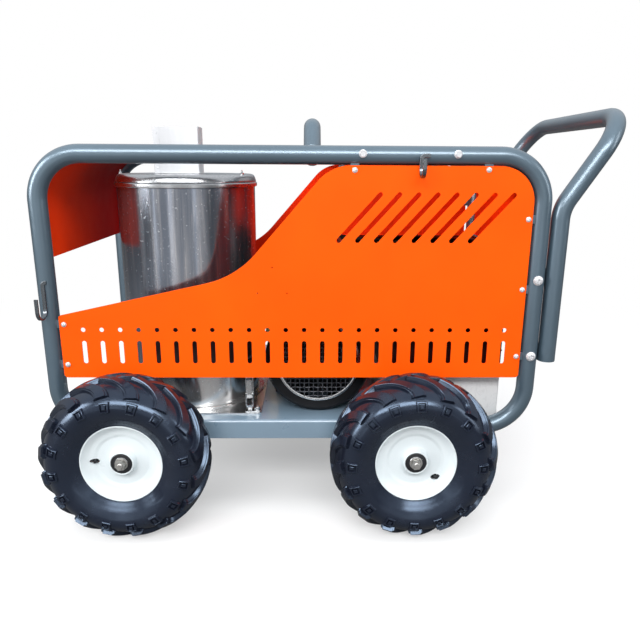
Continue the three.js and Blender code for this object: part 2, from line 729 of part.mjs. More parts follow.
function tankCap() {
  const { x, y, radius } = filler;
  const seat = filler.top + clearance;
  const edge = toothedOutline(x, y, 10, [[37, -7], [37, 7], [34.5, 18]]);
  const hollow = rod('z', radius + 1, x, y, seat - 20, seat);
  return cut(extrudeAlong('z', edge, seat - 16, seat + 8), hollow);
}

const hoodFace = loop.right + coverSheet.thickness / 2 + clearance;
const gauge = { y: 58, z: 640, radius: 31, depth: 26, recess: 6 };
const rotary = { y: -70, z: 640 };
const gland = { y: -130, z: 505 };

function controlBox() {
  const { left, right, near, far, bottom, top } = control;
  const wall = 2;
  const shell = box(left, right, near, far, bottom, top);
  const inside = box(left + wall, right - wall, near + wall, far - wall, bottom + wall, top - wall);
  const foot = (x, y) => box(x - 8, x + 8, y - 8, y + 8, tank.top + clearance, bottom + 1);
  const feet = [[140, -140], [370, -140], [140, 80], [370, 80]].map(([x, y]) => foot(x, y));
  const cableGland = rod('x', 13, gland.y, gland.z, right - 1, right + 24, 6);
  const cableWay = rod('x', 6, gland.y, gland.z, right - 10, right + 30, 10);
  return cut(join(shell, ...feet, cableGland), inside, cableWay);
}

function pressureGauge() {
  const { y, z, radius, depth, recess } = gauge;
  const can = rod('x', radius, y, z, hoodFace, hoodFace + depth, 24);
  const hollow = rod('x', radius - 3, y, z, hoodFace + depth - recess, hoodFace + depth + 1, 24);
  return cut(can, hollow);
}

function gaugeNeedle() {
  const { y, z, radius, depth, recess } = gauge;
  const seat = hoodFace + depth - recess + clearance;
  const boss = rod('x', 4, y, z, seat, seat + 3, 8);
  const tip = radius - 8;
  const pointer = extrudeAlong('x', [[-1.6, -7], [1.6, -7], [0.6, tip], [-0.6, tip]]
    .map(([u, v]) => new THREE.Vector2(u, v)), seat + 1, seat + 2);
  return join(boss, pointer.rotateX(THREE.MathUtils.degToRad(135)).translate(0, y, z));
}

function mainSwitch() {
  const { y, z } = rotary;
  return join(
    rod('x', 20, y, z, hoodFace, hoodFace + 10, 16),
    box(hoodFace + 8, hoodFace + 28, y - 5, y + 5, z - 19, z + 19),
  );
}

addPart('fuel_tank', fuelTank(), stainless);
addPart('tank_cap', tankCap(), blackPlastic);
addPart('control_box', controlBox(), blackPaint);
addPart('pressure_gauge', pressureGauge(), whiteDial);
addPart('gauge_needle', gaugeNeedle(), redPlastic);
addPart('main_switch', mainSwitch(), redPlastic);

// ---- water connections and pipes ----

const inlet = { x: 340, y: 205, z: 268, mouth: 398 };
const outlet = { x: -504, y: 190, z: 272, mouth: -566 };

// A coupling through an upright bracket on the pan, open at its mouth.
function coupling({ x, y, z, mouth }, boreRadius) {
  const outward = Math.sign(mouth - x);
  const inner = x - outward * 18;
  const [low, high] = [Math.min(inner, mouth), Math.max(inner, mouth)];
  const lip = mouth - outward * 14;
  const [lipLow, lipHigh] = [Math.min(lip, mouth), Math.max(lip, mouth)];
  const bracket = box(x - 1.5, x + 1.5, y - 32, y + 32, panTop, z + 30);
  const heel = x - outward * 30;
  const foot = box(Math.min(x, heel), Math.max(x, heel), y - 32, y + 32, panTop, panTop + 3);
  const body = rod('x', 15, y, z, low, high, 12);
  const collar = rod('x', 19, y, z, lipLow, lipHigh, 12);
  const bore = rod('x', boreRadius, y, z, mouth - outward * 34, mouth + outward, 12);
  return cut(join(bracket, foot, body, collar), bore);
}

function pipe(corners, radius, segments = 3) {
  return bentBar(bentPath(corners, segments), roundSection(radius, 10), new THREE.Vector3(0.3, 0.2, 1));
}

function aroundBoiler(angle, radius, z) {
  const turn = THREE.MathUtils.degToRad(angle);
  return [boiler.x + radius * Math.cos(turn), boiler.y + radius * Math.sin(turn), z];
}

addPart('water_inlet', coupling(inlet, 10), brass);
addPart('pressure_outlet', coupling(outlet, 8), brass);
const suctionStart = inlet.x - 18 - 0.5;
addPart('suction_pipe', pipe([
  [suctionStart, inlet.y, inlet.z], [-132, inlet.y + 10, inlet.z, 40], [-132, 222, 345, 30],
  [-132, head.far + 0.5, 345],
], 10), zincSteel);
addPart('feed_pipe', pipe([
  [head.left - 0.5, 136, 330], [-208, 136, 330, 22], [...aroundBoiler(44, 205, 300), 22],
  aroundBoiler(44, boiler.radius + 1.5, 300),
], 8), zincSteel);
addPart('outlet_pipe', pipe([
  aroundBoiler(150, boiler.radius + 1.5, 430), [...aroundBoiler(150, 200, 430), 24],
  [-478, 120, 330, 30], [-430, 190, 272, 24], [outlet.x + 18 + 0.5, outlet.y, outlet.z],
], 8), zincSteel);

export default machine;
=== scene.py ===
import json
import math

import bmesh
import bpy
import numpy as np
from mathutils import Matrix, Vector

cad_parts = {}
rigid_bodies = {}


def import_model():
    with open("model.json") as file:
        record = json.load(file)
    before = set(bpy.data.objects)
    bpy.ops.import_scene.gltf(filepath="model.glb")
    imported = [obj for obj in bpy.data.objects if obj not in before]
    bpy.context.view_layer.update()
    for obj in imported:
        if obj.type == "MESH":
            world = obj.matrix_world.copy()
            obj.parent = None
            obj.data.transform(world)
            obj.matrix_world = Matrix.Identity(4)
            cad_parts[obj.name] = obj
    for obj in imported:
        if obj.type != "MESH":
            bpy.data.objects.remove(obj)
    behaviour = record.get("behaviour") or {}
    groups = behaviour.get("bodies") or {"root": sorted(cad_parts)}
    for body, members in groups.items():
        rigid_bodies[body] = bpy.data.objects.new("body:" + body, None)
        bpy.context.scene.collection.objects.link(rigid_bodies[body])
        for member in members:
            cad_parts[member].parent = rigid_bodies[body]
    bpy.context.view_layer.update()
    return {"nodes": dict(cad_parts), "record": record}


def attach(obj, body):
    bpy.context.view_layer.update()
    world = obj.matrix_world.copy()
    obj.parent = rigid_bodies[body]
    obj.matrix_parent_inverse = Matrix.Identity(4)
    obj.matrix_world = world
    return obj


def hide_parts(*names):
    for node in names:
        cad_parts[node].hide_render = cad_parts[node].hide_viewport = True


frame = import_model()
record = frame["record"]
slotOfNode = {part["node"]: part["material_slot"] for part in record["subparts"]}
bodyOfNode = {node: body for body, nodes in record["behaviour"]["bodies"].items() for node in nodes}
metre = 1000.0


def linked(name, data):
    made = bpy.data.objects.new(name, data)
    bpy.context.scene.collection.objects.link(made)
    return made


def evaluatedMesh(holder):
    return bpy.data.meshes.new_from_object(holder.evaluated_get(bpy.context.evaluated_depsgraph_get()))


# Shapes are points in millimetres and the faces between them.

unitX, unitY, unitZ = np.eye(3)
axisFrames = {"x": (unitY, unitZ, unitX), "y": (unitX, unitZ, unitY), "z": (unitX, unitY, unitZ)}


class Shape:
    def __init__(self, points, faces):
        self.points = np.asarray(points, float).reshape(-1, 3)
        self.faces = [list(face) for face in faces]

    def __add__(self, other):
        count = len(self.points)
        later = [[corner + count for corner in face] for face in other.faces]
        return Shape(np.vstack([self.points, other.points]), self.faces + later)

    def moved(self, x=0.0, y=0.0, z=0.0):
        return Shape(self.points + np.array([x, y, z]), self.faces)

    def turned(self, axis, degrees):
        turn = np.array(Matrix.Rotation(math.radians(degrees), 3, axis))
        return Shape(self.points @ turn.T, self.faces)

    # Stands a shape that was drawn upright at the origin on a surface: its +Z goes along "out".
    def standing(self, place, out, turn=0.0):
        quaternion = Vector((0, 0, 1)).rotation_difference(Vector(out))
        matrix = np.array((quaternion.to_matrix() @ Matrix.Rotation(math.radians(turn), 3, "Z")))
        return Shape(self.points @ matrix.T + np.asarray(place, float), self.faces)


# Several shapes as one.
def joined(shapes):
    shapes = list(shapes)
    starts = np.cumsum([0] + [len(shape.points) for shape in shapes])
    faces = [[corner + start for corner in face] for shape, start in zip(shapes, starts)
             for face in shape.faces]
    return Shape(np.vstack([shape.points for shape in shapes]), faces)


# Quads between the neighbouring rows of a grid of points; each row closes on itself.
def gridFaces(rows, columns, closeRows=False):
    i = np.arange(rows if closeRows else rows - 1)[:, None]
    j = np.arange(columns)[None, :]
    here, above, side = i * columns, ((i + 1) % rows) * columns, (j + 1) % columns
    return np.stack([here + j, here + side, above + side, above + j], -1).reshape(-1, 4).tolist()


# The faces of a tube: its rings of points are the rows, and its first and last rings are filled.
def tubeFaces(rows, columns):
    last = (rows - 1) * columns
    return gridFaces(rows, columns) + [list(range(columns))[::-1], list(range(last, last + columns))]


# Points at a radius and an angle in degrees.
def polar(radius, degrees):
    angle = np.radians(degrees)
    return np.stack([radius * np.cos(angle), radius * np.sin(angle)], -1)


# Evenly spaced points round a circle.
def circle(radius, sides, start=0.0, centre=(0, 0)):
    return polar(radius, start + np.arange(sides) * 360 / sides) + np.asarray(centre, float)


# Turns a profile of (radius, height) pairs about an axis through the centre.
def lathe(profile, segments, axis="z", centre=(0, 0, 0), closed=False):
    across, up, along = axisFrames[axis]
    profile = np.asarray(profile, float)
    around = circle(1.0, segments)
    ring = around[:, :1] * across + around[:, 1:] * up
    points = profile[:, 0, None, None] * ring + profile[:, 1, None, None] * along
    rows = len(profile)
    faces = gridFaces(rows, segments, closeRows=True) if closed else tubeFaces(rows, segments)
    return Shape(points + np.asarray(centre, float), faces)


# The profile of a solid disc or rod with its two edges rounded, from low to high.
def rodProfile(radius, low, high, edge=0.6, steps=3):
    turn = np.linspace(0, 90, steps + 1)
    lower = polar(edge, turn - 90) + [radius - edge, low + edge]
    upper = polar(edge, turn) + [radius - edge, high - edge]
    return np.vstack([[[0, low]], lower, upper, [[0, high]]])


# A solid disc or rod along an axis, between two heights.
def rod(axis, radius, centre, low, high, edge=0.6, segments=32):
    return lathe(rodProfile(radius, low, high, edge), segments, axis, centre)


# A ring whose section is a box with rounded edges.
def ring(axis, inner, outer, centre, low, high, edge=0.5, segments=48):
    turn = np.array([0, 30, 60, 90])
    corners = [(outer - edge, high - edge, 0), (inner + edge, high - edge, 90),
               (inner + edge, low + edge, 180), (outer - edge, low + edge, 270)]
    profile = np.vstack([polar(edge, turn + start) + [r, h] for r, h, start in corners])
    return lathe(profile, segments, axis, centre, closed=True)


# Points along a bent route: a corner (x, y, z, radius) becomes an arc between its tangents.
def bentPath(corners, closed=False, stepDegrees=6.0):
    corners = [tuple(corner) + (0,) * (4 - len(corner)) for corner in corners]
    points = []
    for i, corner in enumerate(corners):
        place, radius = np.array(corner[:3], float), corner[3]
        if radius == 0 or (not closed and i in (0, len(corners) - 1)):
            points.append(place)
            continue
        before = np.array(corners[i - 1][:3], float) - place
        after = np.array(corners[(i + 1) % len(corners)][:3], float) - place
        before, after = before / np.linalg.norm(before), after / np.linalg.norm(after)
        half = math.acos(np.clip(before @ after, -1, 1)) / 2
        middle = (before + after) / np.linalg.norm(before + after)
        centre = place + middle * radius / math.sin(half)
        start = place + before * radius / math.tan(half) - centre
        end = place + after * radius / math.tan(half) - centre
        bow = math.pi - 2 * half
        count = max(2, round(math.degrees(bow) / stepDegrees))
        for s in np.linspace(0, 1, count + 1):
            spoke = start * math.sin((1 - s) * bow) + end * math.sin(s * bow)
            points.append(centre + spoke / math.sin(bow))
    return np.array(points)


# Carries a section along a path, turned as little as possible and mitred at each point.
def sweep(path, section, side, closed=False):
    path, section = np.asarray(path, float), np.asarray(section, float)
    ahead = np.roll(path, -1, 0) - path
    ahead /= np.maximum(np.linalg.norm(ahead, axis=1, keepdims=True), 1e-9)
    if not closed:
        ahead[-1] = ahead[-2]
    behind = np.roll(ahead, 1, 0)
    if not closed:
        behind[0] = ahead[0]
    across = side - ahead[0] * (side @ ahead[0])
    across /= np.linalg.norm(across)
    rings = []
    for i in range(len(path)):
        if i:
            turn = Vector(behind[i]).rotation_difference(Vector(ahead[i]))
            across = np.array(turn @ Vector(across))
        other = np.cross(ahead[i], across)
        offset = section[:, :1] * across + section[:, 1:] * other
        mitre = behind[i] + ahead[i]
        offset -= np.outer(offset @ mitre, ahead[i]) / (ahead[i] @ mitre)
        rings.append(path[i] + offset)
    rows, count = len(path), len(section)
    faces = gridFaces(rows, count, closeRows=True) if closed else tubeFaces(rows, count)
    return Shape(np.vstack(rings), faces)


# A rectangle from its low left to its high right corner, with rounded corners.
def rectangle(left, low, right, high, edge, stepDegrees=6.0):
    corners = [(left, low, edge), (right, low, edge), (right, high, edge), (left, high, edge)]
    return roundedOutline(corners, stepDegrees)


# The section of a flat bar or sheet, about its middle.
def flatSection(width, thickness, edge=0.5):
    return rectangle(-width / 2, -thickness / 2, width / 2, thickness / 2, edge, 30.0)


# A closed outline in a plane whose corners (x, y, radius) become arcs.
def roundedOutline(corners, stepDegrees=6.0):
    return bentPath([(x, y, 0, radius) for x, y, radius in corners], True, stepDegrees)[:, :2]


# An outline of one width between two points, with a half circle at each end.
def slotOutline(start, end, radius, steps=8):
    start, end = np.asarray(start, float), np.asarray(end, float)
    direction = math.degrees(math.atan2(*(end - start)[::-1]))
    turn = np.linspace(-90, 90, steps + 1)
    return np.vstack([polar(radius, turn + direction) + end, polar(radius, turn + direction + 180) + start])


# The points and faces that a curve is filled or drawn with.
def curveMesh(curve):
    mesh = evaluatedMesh(linked("curve", curve))
    points = np.zeros(len(mesh.vertices) * 3)
    mesh.vertices.foreach_get("co", points)
    faces = [list(face.vertices) for face in mesh.polygons]
    bpy.data.curves.remove(curve)
    bpy.data.meshes.remove(mesh)
    return points.reshape(-1, 3), faces


# A sheet with holes: outlines drawn across an axis, filled by a flat curve with a fine bevel.
def plate(outlines, low, high, axis="y", edge=0.35):
    curve = bpy.data.curves.new("plate", "CURVE")
    curve.dimensions = "2D"
    curve.fill_mode = "BOTH"
    curve.extrude = (high - low) / 2 - edge
    curve.bevel_depth = edge
    curve.bevel_resolution = 1
    for outline in outlines:
        spline = curve.splines.new("POLY")
        spline.points.add(len(outline) - 1)
        flat = np.column_stack([outline, np.zeros(len(outline)), np.ones(len(outline))])
        spline.points.foreach_set("co", flat.ravel())
        spline.use_cyclic_u = True
    points, faces = curveMesh(curve)
    across, up, along = axisFrames[axis]
    placed = points[:, :1] * across + points[:, 1:2] * up + (points[:, 2:] + (low + high) / 2) * along
    return Shape(placed, faces)


# A box from its low corner to its high corner with all edges rounded.
def roundedBox(low, high, edge=2.0, segments=3):
    low, high = np.asarray(low, float), np.asarray(high, float)
    mesh = bmesh.new()
    bmesh.ops.create_cube(mesh, size=1.0)
    for vert in mesh.verts:
        vert.co = Vector((low + high) / 2 + np.array(vert.co) * (high - low))
    bmesh.ops.bevel(mesh, geom=mesh.edges[:], offset=edge, segments=segments, profile=0.5, affect="EDGES")
    mesh.verts.index_update()
    faces = [[vert.index for vert in face.verts] for face in mesh.faces]
    shape = Shape([vert.co for vert in mesh.verts], faces)
    mesh.free()
    return shape


# Pieces: shapes in the scene, each on the body it moves with.

# A mesh in metres with its doubles merged and its normals turned outwards.
def cleanMesh(name, shape):
    mesh = bpy.data.meshes.new(name)
    mesh.from_pydata((shape.points / metre).tolist(), [], shape.faces)
    work = bmesh.new()
    work.from_mesh(mesh)
    bmesh.ops.remove_doubles(work, verts=work.verts[:], dist=2e-6)
    bmesh.ops.recalc_face_normals(work, faces=work.faces[:])
    work.to_mesh(mesh)
    work.free()
    return mesh


# Makes a shape a piece of the scene, with its finish and on its body.
def addPiece(name, shape, finish, body, stands=(), crease=38.0):
    mesh = cleanMesh(name, shape)
    mesh.shade_smooth()
    mesh.set_sharp_from_angle(angle=math.radians(crease))
    mesh.materials.append(finishes[finish])
    piece = linked(name, mesh)
    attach(piece, body)
    if stands:
        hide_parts(*stands)
    return piece


# The piece that stands for one CAD node, on its body and with its slot.
def stand(node, shape, crease=38.0, finish=None):
    return addPiece(f"{node}_piece", shape, finish or slotOfNode[node], bodyOfNode[node], [node],
                    crease)


# Gives the faces that look towards the middle of the cage a finish of their own, a painted shade.
def paintShadeInside(piece, finish):
    mesh = piece.data
    mesh.materials.append(finishes[finish])
    centres, normals = np.zeros(len(mesh.polygons) * 3), np.zeros(len(mesh.polygons) * 3)
    mesh.polygons.foreach_get("center", centres)
    mesh.polygons.foreach_get("normal", normals)
    middle = np.array([cage["left"] + cage["right"], 0, cage["top"] + cage["bottom"]]) / 2
    inward = middle / metre - centres.reshape(-1, 3)
    facing = (normals.reshape(-1, 3) * inward).sum(1) / np.linalg.norm(inward, axis=1)
    mesh.polygons.foreach_set("material_index", (facing > 0.2).astype(np.int32))


# Cuts a closed shape out of a piece, whose shells may overlap.
def carve(piece, cutter, overlapping=False):
    tool = linked("cutter", cleanMesh("cutter", cutter))
    hole = piece.modifiers.new("hole", "BOOLEAN")
    hole.operation = "DIFFERENCE"
    hole.solver = "EXACT"
    hole.use_self = overlapping
    hole.object = tool
    cut = evaluatedMesh(piece)
    piece.modifiers.clear()
    piece.data = cut
    bpy.data.objects.remove(tool)


# Finishes

# A socket of a node tree that can be reckoned with.
class Value:
    def __init__(self, nodes, socket):
        self.nodes = nodes
        self.socket = socket

    def math(self, operation, other):
        return self.nodes.node("ShaderNodeMath", [self, other], operation=operation)

    def __add__(self, other):
        return self.math("ADD", other)

    def __sub__(self, other):
        return self.math("SUBTRACT", other)

    def __mul__(self, other):
        return self.math("MULTIPLY", other)

    # The other value comes first: a number minus this one.
    def __rsub__(self, other):
        return self.nodes.node("ShaderNodeMath", [other, self], operation="SUBTRACT")

    # Rises smoothly from "least" at "low" to "most" at "high".
    def rise(self, low, high, least=0.0, most=1.0):
        return self.nodes.node("ShaderNodeMapRange", [self, low, high, least, most],
                               interpolation_type="SMOOTHSTEP")


class NodeTree:
    def __init__(self, tree):
        self.tree = tree

    # Adds a node; its inputs are a list in order or a dictionary by name or number.
    def node(self, kind, inputs=(), output=0, **settings):
        made = self.tree.nodes.new(kind)
        for key, value in settings.items():
            setattr(made, key, value)
        for key, value in inputs.items() if isinstance(inputs, dict) else enumerate(inputs):
            if isinstance(value, Value):
                self.tree.links.new(value.socket, made.inputs[key])
            else:
                made.inputs[key].default_value = value
        return None if output is None else Value(self, made.outputs[output])


class Paint(NodeTree):
    def __init__(self, name, colour, roughness, metallic=0.0, coat=0.0, coatRoughness=0.1, specular=0.5):
        self.material = bpy.data.materials.new(name)
        self.material.use_nodes = True
        self.material.diffuse_color = (*colour, 1)
        super().__init__(self.material.node_tree)
        self.shader = self.tree.nodes["Principled BSDF"]
        settings = {"Base Color": (*colour, 1), "Roughness": roughness, "Metallic": metallic,
                    "Coat Weight": coat, "Coat Roughness": coatRoughness, "Specular IOR Level": specular}
        for socket, value in settings.items():
            self.shader.inputs[socket].default_value = value
        self.place = self.node("ShaderNodeTexCoord", output="Object")

    # Noise with a feature size in millimetres, drawn out along an axis by "stretch".
    def noise(self, size, detail=3.0, roughness=0.5, stretch=(1, 1, 1), distortion=0.0):
        scaled = self.node("ShaderNodeVectorMath", [self.place, tuple(1 / s for s in stretch)],
                           operation="MULTIPLY")
        return self.node("ShaderNodeTexNoise", {"Vector": scaled, "Scale": metre / size, "Detail": detail,
                                                "Roughness": roughness, "Distortion": distortion})

    def cells(self, size):
        return self.node("ShaderNodeTexVoronoi", {"Vector": self.place, "Scale": metre / size})

    def part(self, axis):
        return self.node("ShaderNodeSeparateXYZ", [self.place], output="XYZ".index(axis))

    # How far a face looks up, from 0 on a wall or below to 1 on top.
    def upward(self):
        normal = self.node("ShaderNodeNewGeometry", output="Normal")
        return self.node("ShaderNodeSeparateXYZ", [normal], output=2).rise(0.55, 1.0)

    def mix(self, amount, *colours):
        first, second = (colour if isinstance(colour, Value) else (*colour, 1) for colour in colours)
        return self.node("ShaderNodeMix", {0: amount, 6: first, 7: second}, output=2, data_type="RGBA")

    def feed(self, socket, value):
        self.tree.links.new(value.socket, self.shader.inputs[socket])
        return self

    # Bump from a height that runs from 0 to 1 and is "depth" millimetres high.
    def bump(self, height, depth):
        settings = {"Strength": 1.0, "Distance": depth / metre, "Height": height}
        return self.feed("Normal", self.node("ShaderNodeBump", settings))


# A colour made lighter or darker.
def shade(colour, factor):
    return tuple(min(1.0, channel * factor) for channel in colour)


# Powder coat: a faint orange-peel surface, a slow drift in tone and dust where it looks up.
def powderCoat(name, colour, roughness, dust, peel, coat=0.35, specular=0.5, coatRoughness=0.18,
               metallic=0.0):
    paint = Paint(name, colour, roughness, metallic, coat, coatRoughness, specular)
    drift = paint.noise(180, 2).rise(0.3, 0.7)
    toned = paint.mix(drift, shade(colour, 0.94), shade(colour, 1.06))
    dusty = paint.upward() * paint.noise(60, 4, 0.6).rise(0.35, 0.8) * dust
    paint.feed("Base Color", paint.mix(dusty, toned, (0.55, 0.53, 0.5)))
    paint.feed("Roughness", paint.noise(35, 3) * 0.14 + (roughness - 0.07) + dusty * 0.3)
    return paint.bump(paint.noise(1.6, 2), peel).material


# A painted shade: paint that turns from a first tone to a last one between two places along an axis, in
# millimetres.
def shadeGradientCoat(name, first, last, axis, start, end):
    paint = Paint(name, first, 0.5, specular=0.05)
    along = paint.part(axis) + paint.noise(90, 3) * 0.04 - 0.02
    paint.feed("Base Color", paint.mix(along.rise(start / metre, end / metre), first, last))
    paint.feed("Roughness", paint.noise(35, 3) * 0.14 + 0.43)
    return paint.bump(paint.noise(1.6, 2), 0.04).material


# Sheet steel: fine lines along the rolling direction, smears and slow dents.
def sheetSteel(name, colour, roughness, stretch, lineDepth, dentDepth, metallic=1.0):
    paint = Paint(name, colour, roughness, metallic)
    lines = paint.noise(1.2, 2, 0.6, stretch)
    smears = paint.noise(70, 4, 0.6, tuple(0.4 * s + 0.6 for s in stretch))
    toned = paint.mix(smears.rise(0.35, 0.75), shade(colour, 0.82), colour)
    paint.feed("Base Color", paint.mix(lines.rise(0.45, 0.8) * 0.35, toned, shade(colour, 0.85)))
    paint.feed("Roughness", smears.rise(0.3, 0.8) * 0.12 + lines * 0.06 + (roughness - 0.08))
    height = lines * lineDepth + paint.noise(55, 2) * dentDepth
    return paint.bump(height, 1.0).material


# Heights and places on the boiler's sheet, in metres: the lines between which a tone rises or falls, for the
# painted light at the foot and the painted shade behind the near panel.
sheetTones = {"paintedLightFoot": (0.29, 0.33), "paintedShadeFoot": (0.318, 0.33), "paintedShadeTop": (0.42, 0.47),
              "paintedShadeSlant": 0.5, "paintedShadeEdge": 0.035}


# Bright rolled steel on the boiler: upright streaks of two widths, clouds and small splashes, a painted
# light that brightens it near the foot, and a painted shade, dark and dull, in a band behind the near panel.
def streakedSteel(name, dark, light, roughness, metallic):
    paint = Paint(name, dark, roughness, metallic)
    wide = paint.noise(16, 2, 0.5, (1, 1, 26)).rise(0.4, 0.66)
    narrow = paint.noise(4.5, 2, 0.5, (1, 1, 34)).rise(0.56, 0.7)
    splashes = paint.noise(7, 4, 0.7).rise(0.62, 0.7)
    clouds = paint.noise(60, 3, 0.5, (1, 1, 2)).rise(0.35, 0.7)
    streaked = paint.mix(wide * 0.55 + narrow * 0.45, dark, light)
    clouded = paint.mix(clouds * 0.35, streaked, shade(dark, 0.8))
    # Painted light: towards the foot the sheet is made near white, standing for the floor's reflection.
    low = 1 - paint.part("Z").rise(*sheetTones["paintedLightFoot"])
    footPaintedLight = paint.mix(low * 0.8, clouded, (0.95, 0.94, 0.92))
    splashed = paint.mix(splashes * 0.5, footPaintedLight, (0.9, 0.92, 0.94))
    # Painted shade: a dark band behind the near panel, also made rough and not metallic so that it mirrors
    # nothing.
    band = paint.part("Z").rise(*sheetTones["paintedShadeFoot"]) * (1 - paint.part("Z").rise(*sheetTones["paintedShadeTop"]))
    slanted = paint.part("Y") - paint.part("X") * sheetTones["paintedShadeSlant"]
    paintedShadeBehindPanel = band * (1 - slanted.rise(-sheetTones["paintedShadeEdge"], sheetTones["paintedShadeEdge"]))
    paint.feed("Base Color", paint.mix(paintedShadeBehindPanel * 0.93, splashed, (0.02, 0.004, 0.003)))
    polish = wide * 0.06 + splashes * 0.15 + clouds * 0.08 + (roughness - 0.05)
    paint.feed("Roughness", polish + paintedShadeBehindPanel * 0.5)
    paint.feed("Metallic", (1 - paintedShadeBehindPanel) * metallic)
    return paint.bump(paint.noise(40, 2, 0.5, (1, 1, 3)) * 0.4 + splashes * 0.03, 1.0).material


# Sheet that is bare and softly marbled below a height in millimetres, and above it a painted shade.
def shadedAboveSheet(name, bare, shadeTone, edge):
    paint = Paint(name, bare, 0.5, 0.2)
    low, high = (edge - 0.5) / metre, (edge + 0.5) / metre
    above = paint.node("ShaderNodeMapRange", [paint.part("Z"), low, high, 0.0, 1.0])
    marbled = paint.noise(14, 4, 0.6, (1, 1, 1.6), 1.5).rise(0.5, 0.62)
    flat = paint.mix(marbled * 0.25, bare, shade(bare, 0.72))
    # The dark colour above is painted shade, its maroon a painted reflection of the orange panel.
    paint.feed("Base Color", paint.mix(above, flat, shadeTone))
    paint.feed("Metallic", (1 - above) * 0.2)
    paint.feed("Roughness", marbled * 0.08 + 0.45)
    return paint.bump(paint.noise(30, 2), 0.15).material


# Cast metal: grain all over and a slightly blotchy tone.
def castMetal(name, colour, roughness, metallic, grain):
    paint = Paint(name, colour, roughness, metallic)
    speckle = paint.noise(1.4, 3, 0.65)
    blotch = paint.noise(26, 3).rise(0.3, 0.75)
    toned = paint.mix(blotch, shade(colour, 0.8), shade(colour, 1.1))
    paint.feed("Base Color", paint.mix(speckle.rise(0.5, 0.85) * 0.4, toned, shade(colour, 0.65)))
    paint.feed("Roughness", speckle * 0.2 + (roughness - 0.1))
    return paint.bump(speckle, grain).material


# Plated or machined metal: bright with small tarnish spots and turning marks.
def platedMetal(name, colour, tarnish, roughness, metallic=1.0):
    paint = Paint(name, colour, roughness, metallic)
    spots = paint.noise(7, 4, 0.7).rise(0.52, 0.75)
    paint.feed("Base Color", paint.mix(spots * 0.6, colour, tarnish))
    paint.feed("Roughness", spots * 0.22 + paint.noise(2.5, 2) * 0.1 + (roughness - 0.05))
    return paint.bump(paint.noise(0.9, 2), 0.03).material


# Rubber: a slight sheen, bloom in patches and fine mould grain.
def rubberSkin(name, colour, roughness, bloom, grain, specular=0.6, sheenTint=(1, 1, 1)):
    paint = Paint(name, colour, roughness, specular=specular)
    paint.shader.inputs["Specular Tint"].default_value = (*sheenTint, 1)
    patches = paint.noise(45, 4, 0.6).rise(0.35, 0.8)
    paint.feed("Base Color", paint.mix(patches * bloom, colour, (0.09, 0.095, 0.11)))
    paint.feed("Roughness", patches * 0.16 + (roughness - 0.08))
    return paint.bump(paint.noise(0.8, 3, 0.6), grain).material


# Moulded plastic: fine spark texture and a soft change in gloss.
def mouldedPlastic(name, colour, roughness):
    paint = Paint(name, colour, roughness)
    toned = paint.noise(20, 3).rise(0.3, 0.7)
    paint.feed("Base Color", paint.mix(toned, shade(colour, 0.85), shade(colour, 1.12)))
    paint.feed("Roughness", paint.noise(12, 2) * 0.16 + (roughness - 0.08))
    return paint.bump(paint.cells(0.9), 0.05).material


